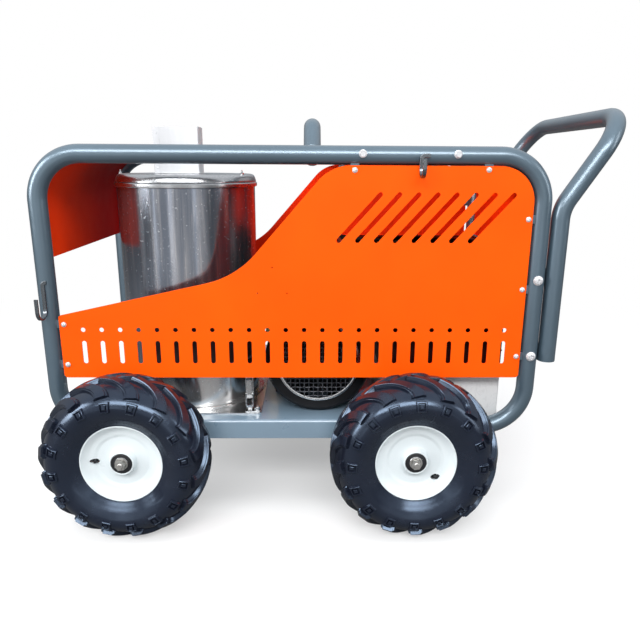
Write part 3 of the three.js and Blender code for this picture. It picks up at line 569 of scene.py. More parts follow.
recipes = {
    "frame_paint": (powderCoat, (0.102, 0.155, 0.2), 0.34, 0.02, 0.03, 0.8, 1.0, 0.26, 0.55),
    "pan_paint": (powderCoat, (0.19, 0.275, 0.355), 0.3, 0.02, 0.03, 1.0, 1.0, 0.08),
    "panel_paint": (powderCoat, (0.97, 0.094, 0.0008), 0.5, 0.02, 0.04, 0.02, 0.1),
    # The insides of the panels, hood and end cover: painted shade that grows darker along one axis.
    "panel_inside": (shadeGradientCoat, (0.35, 0.008, 0.0004), (1.0, 0.03, 0.0008), "X", -250.0, 60.0),
    "cover_inside": (shadeGradientCoat, (1.0, 0.045, 0.0008), (0.32, 0.001, 0.0002), "Y", -235.0, 150.0),
    "rim_paint": (powderCoat, (0.73, 0.79, 0.81), 0.3, 0.06, 0.03),
    "black_paint": (powderCoat, (0.004, 0.004, 0.005), 0.42, 0.01, 0.06, 0.0, 0.3),
    "brushed_steel": (sheetSteel, (0.6, 0.6, 0.59), 0.36, (14, 14, 1), 0.02, 0.15),
    "mirror_steel": (streakedSteel, (0.27, 0.3, 0.36), (0.58, 0.57, 0.59), 0.18, 0.94),
    "lid_steel": (sheetSteel, (0.66, 0.67, 0.69), 0.3, (8, 8, 1), 0.004, 0.2),
    "plate_steel": (sheetSteel, (0.78, 0.79, 0.8), 0.3, (1, 14, 1), 0.01, 0.2),
    "duct_sheet": (sheetSteel, (0.7, 0.71, 0.73), 0.5, (1, 1, 12), 0.008, 0.25, 0.35),
    # Above 316 mm the tank's dark maroon is painted shade with a painted reflection of the orange panel.
    "tank_sheet": (shadedAboveSheet, (0.8, 0.8, 0.8), (0.035, 0.002, 0.0015), 316.0),
    "zinc_steel": (platedMetal, (0.68, 0.69, 0.7), (0.42, 0.42, 0.4), 0.24),
    "hook_steel": (platedMetal, (0.2, 0.22, 0.24), (0.08, 0.08, 0.085), 0.24),
    "hub_steel": (platedMetal, (0.5, 0.49, 0.47), (0.16, 0.15, 0.14), 0.36, 0.8),
    "bolt_zinc": (platedMetal, (0.78, 0.78, 0.8), (0.4, 0.4, 0.4), 0.3, 0.5),
    "dark_wire": (platedMetal, (0.13, 0.135, 0.15), (0.05, 0.05, 0.055), 0.36),
    "cast_aluminium": (castMetal, (0.4, 0.41, 0.42), 0.46, 0.85, 0.12),
    "brass": (platedMetal, (0.66, 0.44, 0.17), (0.3, 0.19, 0.08), 0.28),
    "rubber": (rubberSkin, (0.008, 0.008, 0.01), 0.5, 0.12, 0.05),
    "tyre_rubber": (rubberSkin, (0.0085, 0.0105, 0.019), 0.24, 0.03, 0.02, 0.85, (0.56, 0.74, 1.0)),
    "black_plastic": (mouldedPlastic, (0.012, 0.012, 0.013), 0.42),
    "red_plastic": (mouldedPlastic, (0.55, 0.03, 0.02), 0.3),
    "dial_white": (mouldedPlastic, (0.8, 0.8, 0.77), 0.4),
}
finishes = {name: make(name, *values) for name, (make, *values) in recipes.items()}
print("finishes made:", len(finishes))


# Fasteners, drawn upright at the origin.

# A bolt's head: a profile turned in six steps, on a washer if one is asked for.
def hexHead(flats, height, washer=0.0, washerThickness=1.6):
    corner = flats / math.sqrt(3)
    chamfer = 0.12 * flats
    profile = [(0, 0), (corner, 0), (corner, height - chamfer * 0.45), (corner - chamfer * 0.35, height),
               (corner * 0.72, height), (corner * 0.7, height - 0.4), (0, height - 0.4)]
    head = lathe(profile, 6)
    if not washer:
        return head
    return head.moved(z=washerThickness) + rod("z", washer, (0, 0, 0), 0, washerThickness, 0.4)


# A domed head with a cross recess: the height falls to the recess floor inside two crossing bars.
def panHead(radius, height, washer=0.0):
    spans = np.array([0, 0.08, 0.16, 0.2, 0.28, 0.4, 0.5, 0.56, 0.64, 0.78, 0.9, 0.97, 1.0, 1.0])
    angles = np.arange(48) * 360 / 48
    place = polar(radius * spans[:, None], angles[None, :])
    dome = height * np.sqrt(np.clip(1 - (0.92 * spans) ** 2, 0, 1)) * np.where(spans < 1, 1, 0.35)
    nearBar = np.minimum(abs(place[..., 0]), abs(place[..., 1])) < 0.13 * radius
    recess = np.where(nearBar & (spans[:, None] < 0.55), 0.45 * height, 0)
    heights = dome[:, None] - recess
    heights[-1] = 0
    points = np.dstack([place, heights])
    shape = Shape(points, gridFaces(len(spans), len(angles)))
    return shape.moved(z=1.2) + rod("z", washer, (0, 0, 0), 0, 1.2, 0.3) if washer else shape


# A nut on a threaded stud that ends a little above it.
def hexNut(flats, height, threadRadius, washer=0.0, stud=4.0):
    corner = flats / math.sqrt(3)
    chamfer = 0.1 * flats
    profile = [(threadRadius, 0), (corner, 0), (corner, height - chamfer * 0.4),
               (corner - chamfer * 0.4, height), (threadRadius + 0.6, height), (threadRadius, height - 0.8)]
    nut = lathe(profile, 6, closed=True)
    lift = 1.6 if washer else 0.0
    shape = nut.moved(z=lift) + thread(threadRadius - 0.15, lift - 1, height + lift + stud)
    return shape + rod("z", washer, (0, 0, 0), 0, lift, 0.4) if washer else shape


# A stud whose thread is a row of fine ridges.
def thread(radius, low, high, pitch=1.25, axis="z", centre=(0, 0, 0), segments=24):
    turns = max(1, int((high - low - 1.2) / pitch))
    steps = np.arange(turns)
    crest = np.column_stack([np.full(turns, radius), low + 0.6 + steps * pitch + 0.3])
    root = np.column_stack([np.full(turns, radius - 0.55 * pitch), low + 0.6 + steps * pitch + 0.85])
    ridges = np.stack([crest, root], 1).reshape(-1, 2)
    profile = np.vstack([[[0, low], [radius - 0.8, low]], ridges, [[radius - 0.8, high], [0, high]]])
    return lathe(profile, segments, axis, centre)


# A weld bead: ripples round a closed path.
def weldBead(path, radius=2.2, ripple=0.35):
    path = np.asarray(path, float)
    dense = np.vstack([path[i] + (np.roll(path, -1, 0)[i] - path[i]) * np.linspace(0, 1, 4)[:3, None]
                       for i in range(len(path))])
    bead = sweep(dense, circle(radius, 8), unitX + 0.3 * unitZ, closed=True)
    wave = 1 + ripple * np.sin(np.arange(len(dense)) * 2.1)[:, None, None] * 0.4
    points = bead.points.reshape(len(dense), 8, 3)
    return Shape((points - dense[:, None]) * wave + dense[:, None], bead.faces)


# Cage: two tube loops, lifting bar, push handle, pan and hooks.

cage = {
    "tubeRadius": 19.0, "loopY": 270.0, "left": -600.0, "right": 440.0, "top": 792.0, "bottom": 200.0,
    "bend": 94.0, "panelInner": 281.0, "tabThickness": 3.0, "gap": 0.3,
    "panelScrews": [(48, 763, "up"), (320, 765, "up"), (409.5, 666, "right"), (409.5, 518, "right"),
                    (409.5, 369, "right"), (-568, 440, "left"), (-568, 350, "left")],
    "topBolts": (63.0, 254.0), "handleBolts": (538.6, 370.6),
}
sideSigns = {"near": -1, "far": 1}


# A round tube carried along a closed rectangle with four bends.
def sideLoop(side):
    y = side * cage["loopY"]
    bend = cage["bend"]
    corners = [(cage["right"], y, cage["bottom"], bend), (cage["right"], y, cage["top"], bend),
               (cage["left"], y, cage["top"], bend), (cage["left"], y, cage["bottom"], bend)]
    return sweep(bentPath(corners, True, 4.0), circle(cage["tubeRadius"], 48), unitY, closed=True)


# A flat tab from the tube to a panel screw, with a nut behind it.
def panelTab(x, z, way, side):
    half, reach = 9.0, 19.0
    outer = cage["panelInner"] - cage["gap"]
    spanX = {"up": (x - half, x + half), "right": (x - half, x + reach), "left": (x - reach, x + half)}[way]
    spanZ = (z - half, z + reach) if way == "up" else (z - half, z + half)
    behind = side * (outer - cage["tabThickness"])
    y = sorted([side * outer, behind])
    tab = roundedBox((spanX[0], y[0], spanZ[0]), (spanX[1], y[1], spanZ[1]), 0.8, 2)
    nut = hexNut(10, 5, 3.2, stud=2).standing((x, behind, z), (0, -side, 0), 20)
    return tab + nut


for sideName, side in sideSigns.items():
    tabs = joined(panelTab(x, z, way, side) for x, z, way in cage["panelScrews"])
    stand(f"side_frame_{sideName}", sideLoop(side) + tabs)
    outerFace = side * (cage["loopY"] + cage["tubeRadius"])
    bolts = [hexHead(12, 6, 8.3).standing((x, outerFace - side * 0.5, cage["top"] + 3), (0, side, 0), 17 * x)
             for x in cage["topBolts"]]
    bolts += [panHead(9.5, 5.0, 10.5).standing((cage["right"], outerFace - side * 0.5, z), (0, side, 0), z)
              for z in cage["handleBolts"]]
    addPiece(f"frame_bolts_{sideName}", joined(bolts), "bolt_zinc", "chassis")
    panelOut = cage["panelInner"] + 2.0
    screws = [panHead(4.7, 3.2, 5.6).standing((x, side * panelOut, z), (0, side, 0), 31 * z)
              for x, z, _ in cage["panelScrews"]]
    addPiece(f"panel_screws_{sideName}", joined(screws), "bolt_zinc", "chassis")


liftBar = {"x": -38.0, "crown": 64.0, "shoulderY": 165.0, "crownY": 95.0, "bend": 45.0,
           "weldOut": 0.6, "weldIn": 2.2}


# A round tube that rises between two pairs of bends, with a weld bead at each end.
def liftingBar():
    x, top = liftBar["x"], cage["top"]
    end = cage["loopY"] - cage["tubeRadius"] - cage["gap"]
    rise = top + liftBar["crown"]
    half = [(x, -end, top), (x, -liftBar["shoulderY"], top, liftBar["bend"]),
            (x, -liftBar["crownY"], rise, liftBar["bend"])]
    far = [(corner[0], -corner[1], *corner[2:]) for corner in half[::-1]]
    bar = sweep(bentPath(half + far, stepDegrees=4.0), circle(cage["tubeRadius"], 48), unitX)
    around = circle(cage["tubeRadius"] + liftBar["weldOut"], 36, centre=(x, top))
    welds = [weldBead(np.column_stack([around[:, 0], np.full(36, y), around[:, 1]]), 2.0)
             for y in (-end + liftBar["weldIn"], end - liftBar["weldIn"])]
    return bar + joined(welds)


stand("lifting_bar", liftingBar())

pushBar = {"armX": 481.0, "armFoot": 356.8, "bendZ": 688.0, "barX": 600.0, "barZ": 874.5}


# A round tube with its two ends open: the wall turns in at each end and runs a little way inside.
def openTube(path, radius, wall, depth, side):
    tube = sweep(path, circle(radius, 48), side)
    tube.faces = tube.faces[:-2]
    shapes = [tube]
    for end, inward in ((path[0], path[1] - path[0]), (path[-1], path[-2] - path[-1])):
        direction = inward / np.linalg.norm(inward)
        profile = [(radius, 0), (radius - wall, 0), (radius - wall, depth), (0, depth)]
        around = circle(1.0, 48)
        across = side - direction * (side @ direction)
        across /= np.linalg.norm(across)
        ringShape = across * around[:, :1] + np.cross(direction, across) * around[:, 1:]
        points = end + np.array([r * ringShape + h * direction for r, h in profile])
        shapes.append(Shape(points, gridFaces(len(profile), 48)))
    return joined(shapes)


# An open tube along two arms and a cross bar, with plates where it is bolted to the loops.
def pushHandle():
    y, gap = cage["loopY"], cage["gap"]
    arm = [(pushBar["armX"], -y, pushBar["armFoot"]), (pushBar["armX"], -y, pushBar["bendZ"], 80),
           (pushBar["barX"], -y, pushBar["barZ"], 90)]
    corners = arm + [(corner[0], -corner[1], *corner[2:]) for corner in arm[::-1]]
    shapes = [openTube(bentPath(corners, stepDegrees=4.0), cage["tubeRadius"], 2.0, 30.0, unitY)]
    for side in sideSigns.values():
        faces = sorted([side * (y - cage["tubeRadius"] - gap), side * (y - cage["tubeRadius"] - 4)])
        for z in cage["handleBolts"]:
            low = (cage["right"] - 16, faces[0], z - 20)
            high = (pushBar["armX"] + 10, faces[1], z + 20)
            shapes.append(roundedBox(low, high, 1.0, 2))
            x, middle = pushBar["armX"], side * (y - cage["tubeRadius"])
            shapes.append(roundedBox((x - 6, middle - 3, z - 18), (x + 6, middle + 3, z + 18), 2.4))
    return joined(shapes)


stand("push_handle", pushHandle())
nutFace = cage["loopY"] - cage["tubeRadius"] - 4
handleNuts = [hexNut(13, 7, 4.8, 9.0).standing((cage["right"], side * nutFace, z), (0, -side, 0), 12)
              for side in sideSigns.values() for z in cage["handleBolts"]]
addPiece("handle_nuts", joined(handleNuts), "zinc_steel", "chassis")

# The machinery stands on the pan at the height "seat".
panSheet = {"left": -507.0, "right": 347.0, "top": 222.5, "seat": 222.8, "sheet": 3.0, "foot": 180.0,
            "out": 293.5, "bend": 6.0}


# A folded channel: its section is drawn across X and drawn out along the pan's length.
def basePan():
    out, top, bend, sheet = panSheet["out"], panSheet["top"], panSheet["bend"], panSheet["sheet"]
    outer = [(out, panSheet["foot"], 0.4), (out, top, bend), (-out, top, bend),
             (-out, panSheet["foot"], 0.4)]
    inner = [(-out + sheet, panSheet["foot"], 0.4), (-out + sheet, top - sheet, bend - sheet),
             (out - sheet, top - sheet, bend - sheet), (out - sheet, panSheet["foot"], 0.4)]
    return plate([roundedOutline(outer + inner, 9.0)], panSheet["left"], panSheet["right"], "x", 0.4)


stand("base_pan", basePan(), finish="pan_paint")


hooks = {
    "hook_end": {"x": -600.0, "arm": 8.0, "top": 532.0, "bend": 458.0, "tip": 504.0},
    "hook_top": {"x": 181.0, "arm": 17.0, "top": 792.0, "bend": 750.0, "tip": 786.0},
}


# A flat bar carried along a short arm, a straight drop and a half-round bow.
def hookBar(x, arm, top, bend, tip):
    reach, thickness = 38.0, 4.0
    y = -cage["loopY"] - cage["tubeRadius"] - cage["gap"] - thickness / 2
    bow = reach / 2 - 0.1
    corners = [(x + arm, y, top), (x, y, top, 6), (x, y, bend, bow), (x, y - reach, bend, bow),
               (x, y - reach, tip)]
    return sweep(bentPath(corners, stepDegrees=9.0), flatSection(8.0, thickness, 1.2), unitZ)


for hookName, hookPlace in hooks.items():
    stand(hookName, hookBar(**hookPlace), finish="hook_steel")

# Covers: two side panels, the end cover and the hood.

cover = {
    "outline": [(-578, 320.3, 8), (418, 320.3, 8), (418, 772, 73), (0.6, 772, 90), (-198.8, 543.3, 200),
                (-578, 458.7, 6)],
    "thickness": 2.0, "endLow": 576.0, "endCoverTop": -500.0, "hoodTop": 20.0,
    "columns": {"first": -528.6, "pitch": 39.45, "count": 24, "holeZ": 428.1, "holeRadius": 5.3,
                "slotLow": 352.0, "slotHigh": 403.8, "slotRadius": 5.3},
    "louvres": {"first": 16.8, "pitch": 39.2, "count": 8, "low": 621.0, "high": 715.0, "lean": 84.6,
                "radius": 5.25},
    "dots": {"places": [(-122, 564), (-154, 509), (-91, 509)], "radius": 2.0},
}


# The near panel alone has louvres and the three dots.
def sidePanel(side):
    columns, louvres, dots = cover["columns"], cover["louvres"], cover["dots"]
    outlines = [roundedOutline(cover["outline"], 3.0)]
    for i in range(columns["count"]):
        x = columns["first"] + i * columns["pitch"]
        low = columns["slotLow"] + columns["slotRadius"]
        high = columns["slotHigh"] - columns["slotRadius"]
        outlines.append(circle(columns["holeRadius"], 24, centre=(x, columns["holeZ"])))
        outlines.append(slotOutline((x, low), (x, high), columns["slotRadius"]))
    for i in range(louvres["count"] if side < 0 else 0):
        x = louvres["first"] + i * louvres["pitch"]
        foot, head = (x, louvres["low"]), (x + louvres["lean"], louvres["high"])
        outlines.append(slotOutline(foot, head, louvres["radius"]))
    outlines += [circle(dots["radius"], 12, centre=place) for place in dots["places"] if side < 0]
    inner = cage["panelInner"]
    faces = sorted([side * inner, side * (inner + cover["thickness"])])
    return plate(outlines, faces[0], faces[1], "y", 0.4)


# The panels' inward faces get a painted shade.
for sideName, side in sideSigns.items():
    paintShadeInside(stand(f"side_panel_{sideName}", sidePanel(side), crease=30), "panel_inside")


# A sheet as wide as the gap between the loops, up one end of the cage, round its bend and along its top.
def bentCover(endX, topEndX):
    corners = [(endX, 0, cover["endLow"]), (endX, 0, cage["top"], cage["bend"]), (topEndX, 0, cage["top"])]
    width = 2 * (cage["loopY"] - cage["tubeRadius"] - cage["gap"])
    return sweep(bentPath(corners, stepDegrees=4.0), flatSection(width, cover["thickness"], 0.5), unitY)


# The inward faces of the end cover and hood get a painted shade.
paintShadeInside(stand("end_cover", bentCover(cage["left"], cover["endCoverTop"])), "cover_inside")
paintShadeInside(stand("hood", bentCover(cage["right"], cover["hoodTop"])), "panel_inside")
print("cage and covers made")

# Wheels, each with its tyre, rim, bearing, stub axle and nut.

wheel = {
    "places": {"left": -429.0, "right": 177.4}, "axleZ": 177.5, "offset": 368.0,
    "profile": [(77.6, 35.0), (81.0, 40.6), (86.6, 43.8), (96.0, 50.0), (108.0, 57.6), (120.0, 62.4),
                (131.0, 63.4), (141.0, 59.6), (151.0, 51.6), (159.0, 39.6), (165.6, 24.4), (168.2, 8.0)],
    "wall": 6.0, "segments": 144, "lugs": 16, "turn": {"left": 7.25, "right": -0.75},
}
# A lug's section has points (share of the half width, extra width, height): a low ledge round a flat top.
lug = {
    "arcStart": -4.0, "arcEnd": 57.0, "shift": 27.0, "bend": 1.7, "rows": 22,
    "crownWidth": 16.0, "endWidth": 30.0, "lead": 2.0, "layoutRadius": 165.0, "endStep": 1.4, "sunk": -0.8,
    "section": [(1, 2.6, -0.8), (1, 0.1, 5.8), (1, -0.5, 6.2), (0.74, 0.6, 6.2), (0.74, -0.1, 8.4),
                (0.74, -0.7, 9.0), (-0.74, 0.7, 9.0), (-0.74, 0.1, 8.4), (-0.74, -0.6, 6.2),
                (-1, 0.5, 6.2), (-1, -0.1, 5.8), (-1, -2.6, -0.8)],
}
shoulderMark = {
    "arc": 76.0,
    "rings": [(11.4, -0.8), (9.4, 4.6), (8.8, 5.0), (7.0, 5.0), (5.8, 0.4), (4.4, 0.4), (3.6, 4.2),
              (3.0, 4.6), (0, 4.6)],
}


# The carcass as a smooth curve through its profile points, measured by the arc from the crown.
class TyreCurve:
    def __init__(self):
        outerHalf = np.array(wheel["profile"][::-1])
        innerHalf = (outerHalf * [1, -1])[::-1]
        knots = np.vstack([innerHalf, outerHalf])
        padded = np.vstack([2 * knots[0] - knots[1], knots, 2 * knots[-1] - knots[-2]])
        s = np.linspace(0, 1, 9)[:8, None]
        runs = []
        for a, b, c, d in zip(padded, padded[1:], padded[2:], padded[3:]):
            square, cube = 2 * a - 5 * b + 4 * c - d, 3 * b - a - 3 * c + d
            runs.append(0.5 * (2 * b + (c - a) * s + square * s ** 2 + cube * s ** 3))
        self.points = np.vstack(runs + [knots[-1:]])
        steps = np.linalg.norm(np.diff(self.points, axis=0), axis=1)
        arc = np.concatenate([[0], np.cumsum(steps)])
        self.arc = arc - np.interp(0, self.points[:, 1], arc)
        slope = np.gradient(self.points, self.arc, axis=0)
        slope /= np.linalg.norm(slope, axis=1, keepdims=True)
        self.normal = np.column_stack([slope[:, 1], -slope[:, 0]])

    # Points (radius, offset) at an arc from the crown, lifted off the surface.
    def at(self, arc, lift=0.0):
        def look(table):
            return np.interp(arc, self.arc, table)
        radius = look(self.points[:, 0]) + lift * look(self.normal[:, 0])
        offset = look(self.points[:, 1]) + lift * look(self.normal[:, 1])
        return radius, offset


tyreCurve = TyreCurve()


# Puts (angle, arc, lift) on the tyre of one wheel; angles run counter-clockwise seen from -Y.
def onTyre(degrees, arc, lift, x, side):
    radius, offset = tyreCurve.at(arc, lift)
    angle, radius, offset = np.broadcast_arrays(np.radians(degrees), radius, offset)
    return np.stack([x + radius * np.cos(angle), side * (wheel["offset"] + offset),
                     wheel["axleZ"] + radius * np.sin(angle)], -1)


# One bar of the tread: its middle line leaves the shoulder straight and turns along the crown,
# the angle moving by "shift" times (1 - s) to the power "bend", with s from crown 0 to shoulder 1.
def treadBar(start, mirror, x, side):
    s = np.linspace(0, 1, lug["rows"])
    arc = lug["arcStart"] + (lug["arcEnd"] - lug["arcStart"]) * s
    degrees = start + lug["shift"] * (1 - s) ** lug["bend"]
    radius = lug["layoutRadius"]
    developed = np.column_stack([np.radians(degrees) * radius, arc])
    along = np.gradient(developed, axis=0)
    along /= np.linalg.norm(along, axis=1, keepdims=True)
    across = np.column_stack([along[:, 1], -along[:, 0]])
    half = (lug["crownWidth"] + (lug["endWidth"] - lug["crownWidth"]) * s ** 2) / 2
    layers = []
    for share, extra, lift in lug["section"]:
        reach = half * share + extra
        layers.append(np.column_stack([developed + across * reach[:, None], np.full(len(s), lift)]))
    grid = np.stack(layers, 1)
    for end, step in ((0, -lug["endStep"]), (-1, lug["endStep"])):
        cap = grid[end].copy()
        cap[:, :2] += along[end] * step
        cap[:, 2] = lug["sunk"]
        grid = np.concatenate([cap[None], grid] if end == 0 else [grid, cap[None]])
    points = onTyre(np.degrees(grid[..., 0] / radius), grid[..., 1] * mirror, grid[..., 2], x, side)
    return Shape(points, gridFaces(len(grid), len(lug["section"])))


# A square mark on the shoulder: nested squares of points, each at its own height.
def squareMark(degrees, mirror, x, side):
    arc = shoulderMark["arc"]
    radius = float(tyreCurve.at(arc)[0])
    walk = np.array([(-1, -1), (-0.5, -1), (0, -1), (0.5, -1), (1, -1), (1, -0.5), (1, 0), (1, 0.5), (1, 1),
                     (0.5, 1), (0, 1), (-0.5, 1), (-1, 1), (-1, 0.5), (-1, 0), (-1, -0.5)])
    rings = [onTyre(degrees + np.degrees(walk[:, 0] * half / radius), (arc + walk[:, 1] * half) * mirror,
                    np.full(16, lift), x, side) for half, lift in shoulderMark["rings"]]
    return Shape(np.vstack(rings), gridFaces(len(rings), 16) + [list(range(16))[::-1]])


vents = {"count": 40, "arc": 119.0, "lengths": (2.6, 5.0), "lifts": (-0.3, 0.5), "halfWidth": 0.28}


# Short ribs round the bead, where the mould was vented: one long, one short, evenly spaced.
def beadRibs(x, side):
    ribs, half = [], vents["halfWidth"]
    for i in range(vents["count"]):
        arcs = (vents["arc"], vents["arc"] + vents["lengths"][i % 2])
        for mirror in (1, -1):
            corners = [onTyre(i * 360 / vents["count"] + turn, arc * mirror, lift, x, side)
                       for lift in vents["lifts"] for arc in arcs for turn in (-half, half)]
            ribs.append(Shape(np.array(corners), [[0, 1, 3, 2], [4, 6, 7, 5], [0, 4, 5, 1], [2, 3, 7, 6],
                                                  [0, 2, 6, 4], [1, 5, 7, 3]]))
    return joined(ribs)


def tyre(x, side, turn):
    arcs = tyreCurve.arc
    angles = np.arange(wheel["segments"]) * 360 / wheel["segments"]
    outside = onTyre(angles[None, :], arcs[:, None], 0.0, x, side)
    inside = onTyre(angles[None, :], arcs[::-6][:, None] * 0.995, -wheel["wall"], x, side)
    points = np.concatenate([outside, inside])
    carcass = Shape(points, gridFaces(len(points), wheel["segments"], closeRows=True))
    pitch = 360 / wheel["lugs"]
    details = []
    for i in range(wheel["lugs"]):
        for mirror, start in ((1, turn + i * pitch), (-1, turn + (i + 0.5) * pitch)):
            details += [treadBar(start + lug["lead"], mirror, x, side), squareMark(start, mirror, x, side)]
    return carcass + joined(details) + beadRibs(x, side)


rim = {
    "profile": [(76.4, 35.6), (80.2, 40.4), (82.4, 43.2), (84.4, 43.4), (85.2, 42.2), (84.8, 40.8),
                (82.6, 38.6), (77.4, 33.2), (76.0, 30.0), (76.0, -33.0), (79.6, -38.6), (84.8, -41.2),
                (85.2, -42.4), (84.4, -43.4), (81.4, -42.0), (77.0, -37.2), (74.2, -34.0), (73.8, 26.2),
                (70.8, 27.6), (56.0, 23.0), (33.0, 21.4), (25.0, 20.0), (16.0, -24.6), (16.0, 25.8),
                (22.3, 28.6), (22.3, 40.2), (23.0, 41.0), (24.6, 41.0), (25.6, 40.0), (27.0, 33.0),
                (29.6, 28.2), (34.0, 26.2), (52.0, 25.6), (55.6, 26.2), (58.6, 28.2), (62.0, 29.0),
                (67.0, 29.8), (71.6, 32.0)],
    "valve": {"left": (180.5, 58.5, 4.0), "right": (-41.0, 58.6, -20.0), "length": 9.6, "height": 5.5},
}


# The middle of a wheel.
def wheelFrame(x, side):
    return (x, side * wheel["offset"], wheel["axleZ"])


# A closed profile turned about the axle of one wheel.
def turnedRing(profile, x, side, segments=96):
    return lathe([(r, side * h) for r, h in profile], segments, "y", wheelFrame(x, side), closed=True)


# Where the valve's oval hole sits in the dish, and how far it is turned.
def valvePlace(end, x, side):
    degrees, radius, tilt = rim["valve"][end]
    spot = polar(radius, degrees)
    return np.array([x + spot[0], side * (wheel["offset"] + 27.0), wheel["axleZ"] + spot[1]]), tilt


# Cuts the oval hole through the dish.
def cutRim(piece, place, tilt):
    valve = rim["valve"]
    outline = polar(1.0, np.arange(28) * 360 / 28) * [valve["length"], valve["height"]]
    carve(piece, plate([outline], -14, 14, "y", 0.2).turned("Y", tilt).moved(*place))


# A turned collar and cap that lean outwards.
def valveStem(place, side):
    lean = (0.25, side * 1.0, 0.1)
    collar = lathe([(0, -16), (5.2, -16), (5.2, -2), (4.2, 1.0), (3.9, 2.5), (0, 2.5)], 24)
    cap = lathe([(0, 2), (3.6, 2), (3.9, 3), (3.9, 7.5), (3.2, 8.6), (0, 8.6)], 12)
    return (collar + cap).standing(place - np.array([0, side * 3.0, 0]), lean)


for end, x in wheel["places"].items():
    for sideName, side in sideSigns.items():
        corner = f"{end}_{sideName}"
        body = f"wheel_{corner}"
        stand(f"tyre_{corner}", tyre(x, side, wheel["turn"][end]), crease=32)
        rimPiece = stand(f"wheel_rim_{corner}", turnedRing(rim["profile"], x, side), crease=30)
        place, tilt = valvePlace(end, x, side)
        cutRim(rimPiece, place, tilt)
        addPiece(f"valve_stem_{corner}", valveStem(place, side), "rubber", body)
        seal = turnedRing([(14.0, 29.2), (21.6, 29.2), (21.6, 40.6), (20.8, 41.3), (19.4, 41.3),
                           (18.8, 40.4), (15.6, 40.4), (15.0, 41.0), (14.0, 41.0)], x, side, 64)
        stand(f"wheel_bearing_{corner}", seal)
        race = turnedRing([(10.4, 29.4), (13.8, 29.4), (13.8, 40.8), (13.4, 41.2), (10.8, 41.2),
                           (10.4, 40.8)], x, side, 48)
        addPiece(f"bearing_race_{corner}", race, "zinc_steel", body)
        plateY = panSheet["out"] + cage["gap"]
        out = (0, side, 0)
        faces = sorted([side * plateY, side * (plateY + 4)])
        axleZ = wheel["axleZ"]
        mount = roundedBox((x - 32, faces[0], axleZ - 15), (x + 32, faces[1], axleZ + 38), 1.0, 2)
        collar = lathe([(0, 0), (15, 0), (15, 43.4), (14, 44.4), (10, 44.4), (10, 114.6), (9.4, 115.2),
                        (0, 115.2)], 40)
        studEnd = thread(6.0, 114.6, 130.0)
        axle = mount + (collar + studEnd).standing((x, side * plateY, axleZ), out)
        bolts = [hexHead(13, 6, 9.5).standing((x + dx, side * (plateY + 4), axleZ + 28), out, dx)
                 for dx in (-22, 22)]
        stand(f"stub_axle_{corner}", axle + joined(bolts), finish="hub_steel")
        nutProfile = [(6.2, 2.4), (11.0, 2.4), (11.0, 9.6), (10.2, 11.3), (7.0, 11.3), (6.2, 10.6)]
        nut = ring("z", 10.3, 13.0, (0, 0, 0), 0.3, 2.3, 0.4) + lathe(nutProfile, 6, closed=True)
        nut = nut.standing((x, side * (wheel["offset"] + 41.0), axleZ), out, 8)
        stand(f"axle_nut_{corner}", nut, finish="hub_steel")
print("wheels made")

# Boiler with its latch and burner.

boiler = {
    "x": -330.0, "y": -83.0, "radius": 157.0, "wall": 2.0, "skirt": 170.0, "foot": 226.1, "top": 732.8,
    "plateHalf": 176.0, "boltReach": 160.0, "plateFaces": (panSheet["seat"], 225.8),
    "plateBolts": [(-1, -1), (-1, 1), (1, 1)],
    "portHeight": 340.0, "portRadius": 48.0, "seamAngle": 20.0,
    "lid": [(0, 750.4), (60, 750.6), (120, 750.9), (146, 751), (151, 750.3), (154.6, 748.2), (157, 744.8),
            (158.5, 741), (159.2, 738.4), (160, 736.4), (160, 734.3), (159.2, 733.3), (157.6, 733.2),
            (157.2, 734.6), (156.4, 738.4), (154, 743), (150, 746.6), (120, 747.2), (0, 747.2)],
    "lidStuds": {"radius": 149.0, "angles": (188.0, 335.0, 97.0)},
    "band": [(157.3, 722.8), (160.6, 723), (162.1, 724.5), (162.3, 727.8), (162.1, 731), (160.6, 732.5),
             (157.3, 732.7)],
    "duct": {"left": -395.5, "right": -295.0, "near": -113.0, "far": -53.0, "low": 751.3, "high": 854.0,
             "wall": 1.5},
    "coil": {"radius": 124.0, "tube": 6.0, "pitch": 13.6, "low": 306.0, "turns": 28},
}
latch = {"x": -180.0, "y": -246.0, "pivotZ": 299.0, "catchZ": 246.0, "half": 9.0, "tabUnder": 309.0}


def aboutBoiler(shape):
    return shape.moved(boiler["x"], boiler["y"], 0)


# A point at an angle and a radius from the boiler's axis.
def boilerPoint(degrees, radius, z):
    spot = polar(radius, degrees)
    return (boiler["x"] + spot[0], boiler["y"] + spot[1], z)


# A square sheet with rounded corners.
def basePlate():
    half = boiler["plateHalf"]
    return aboutBoiler(plate([rectangle(-half, -half, half, half, 10)], *boiler["plateFaces"], "z", 0.4))


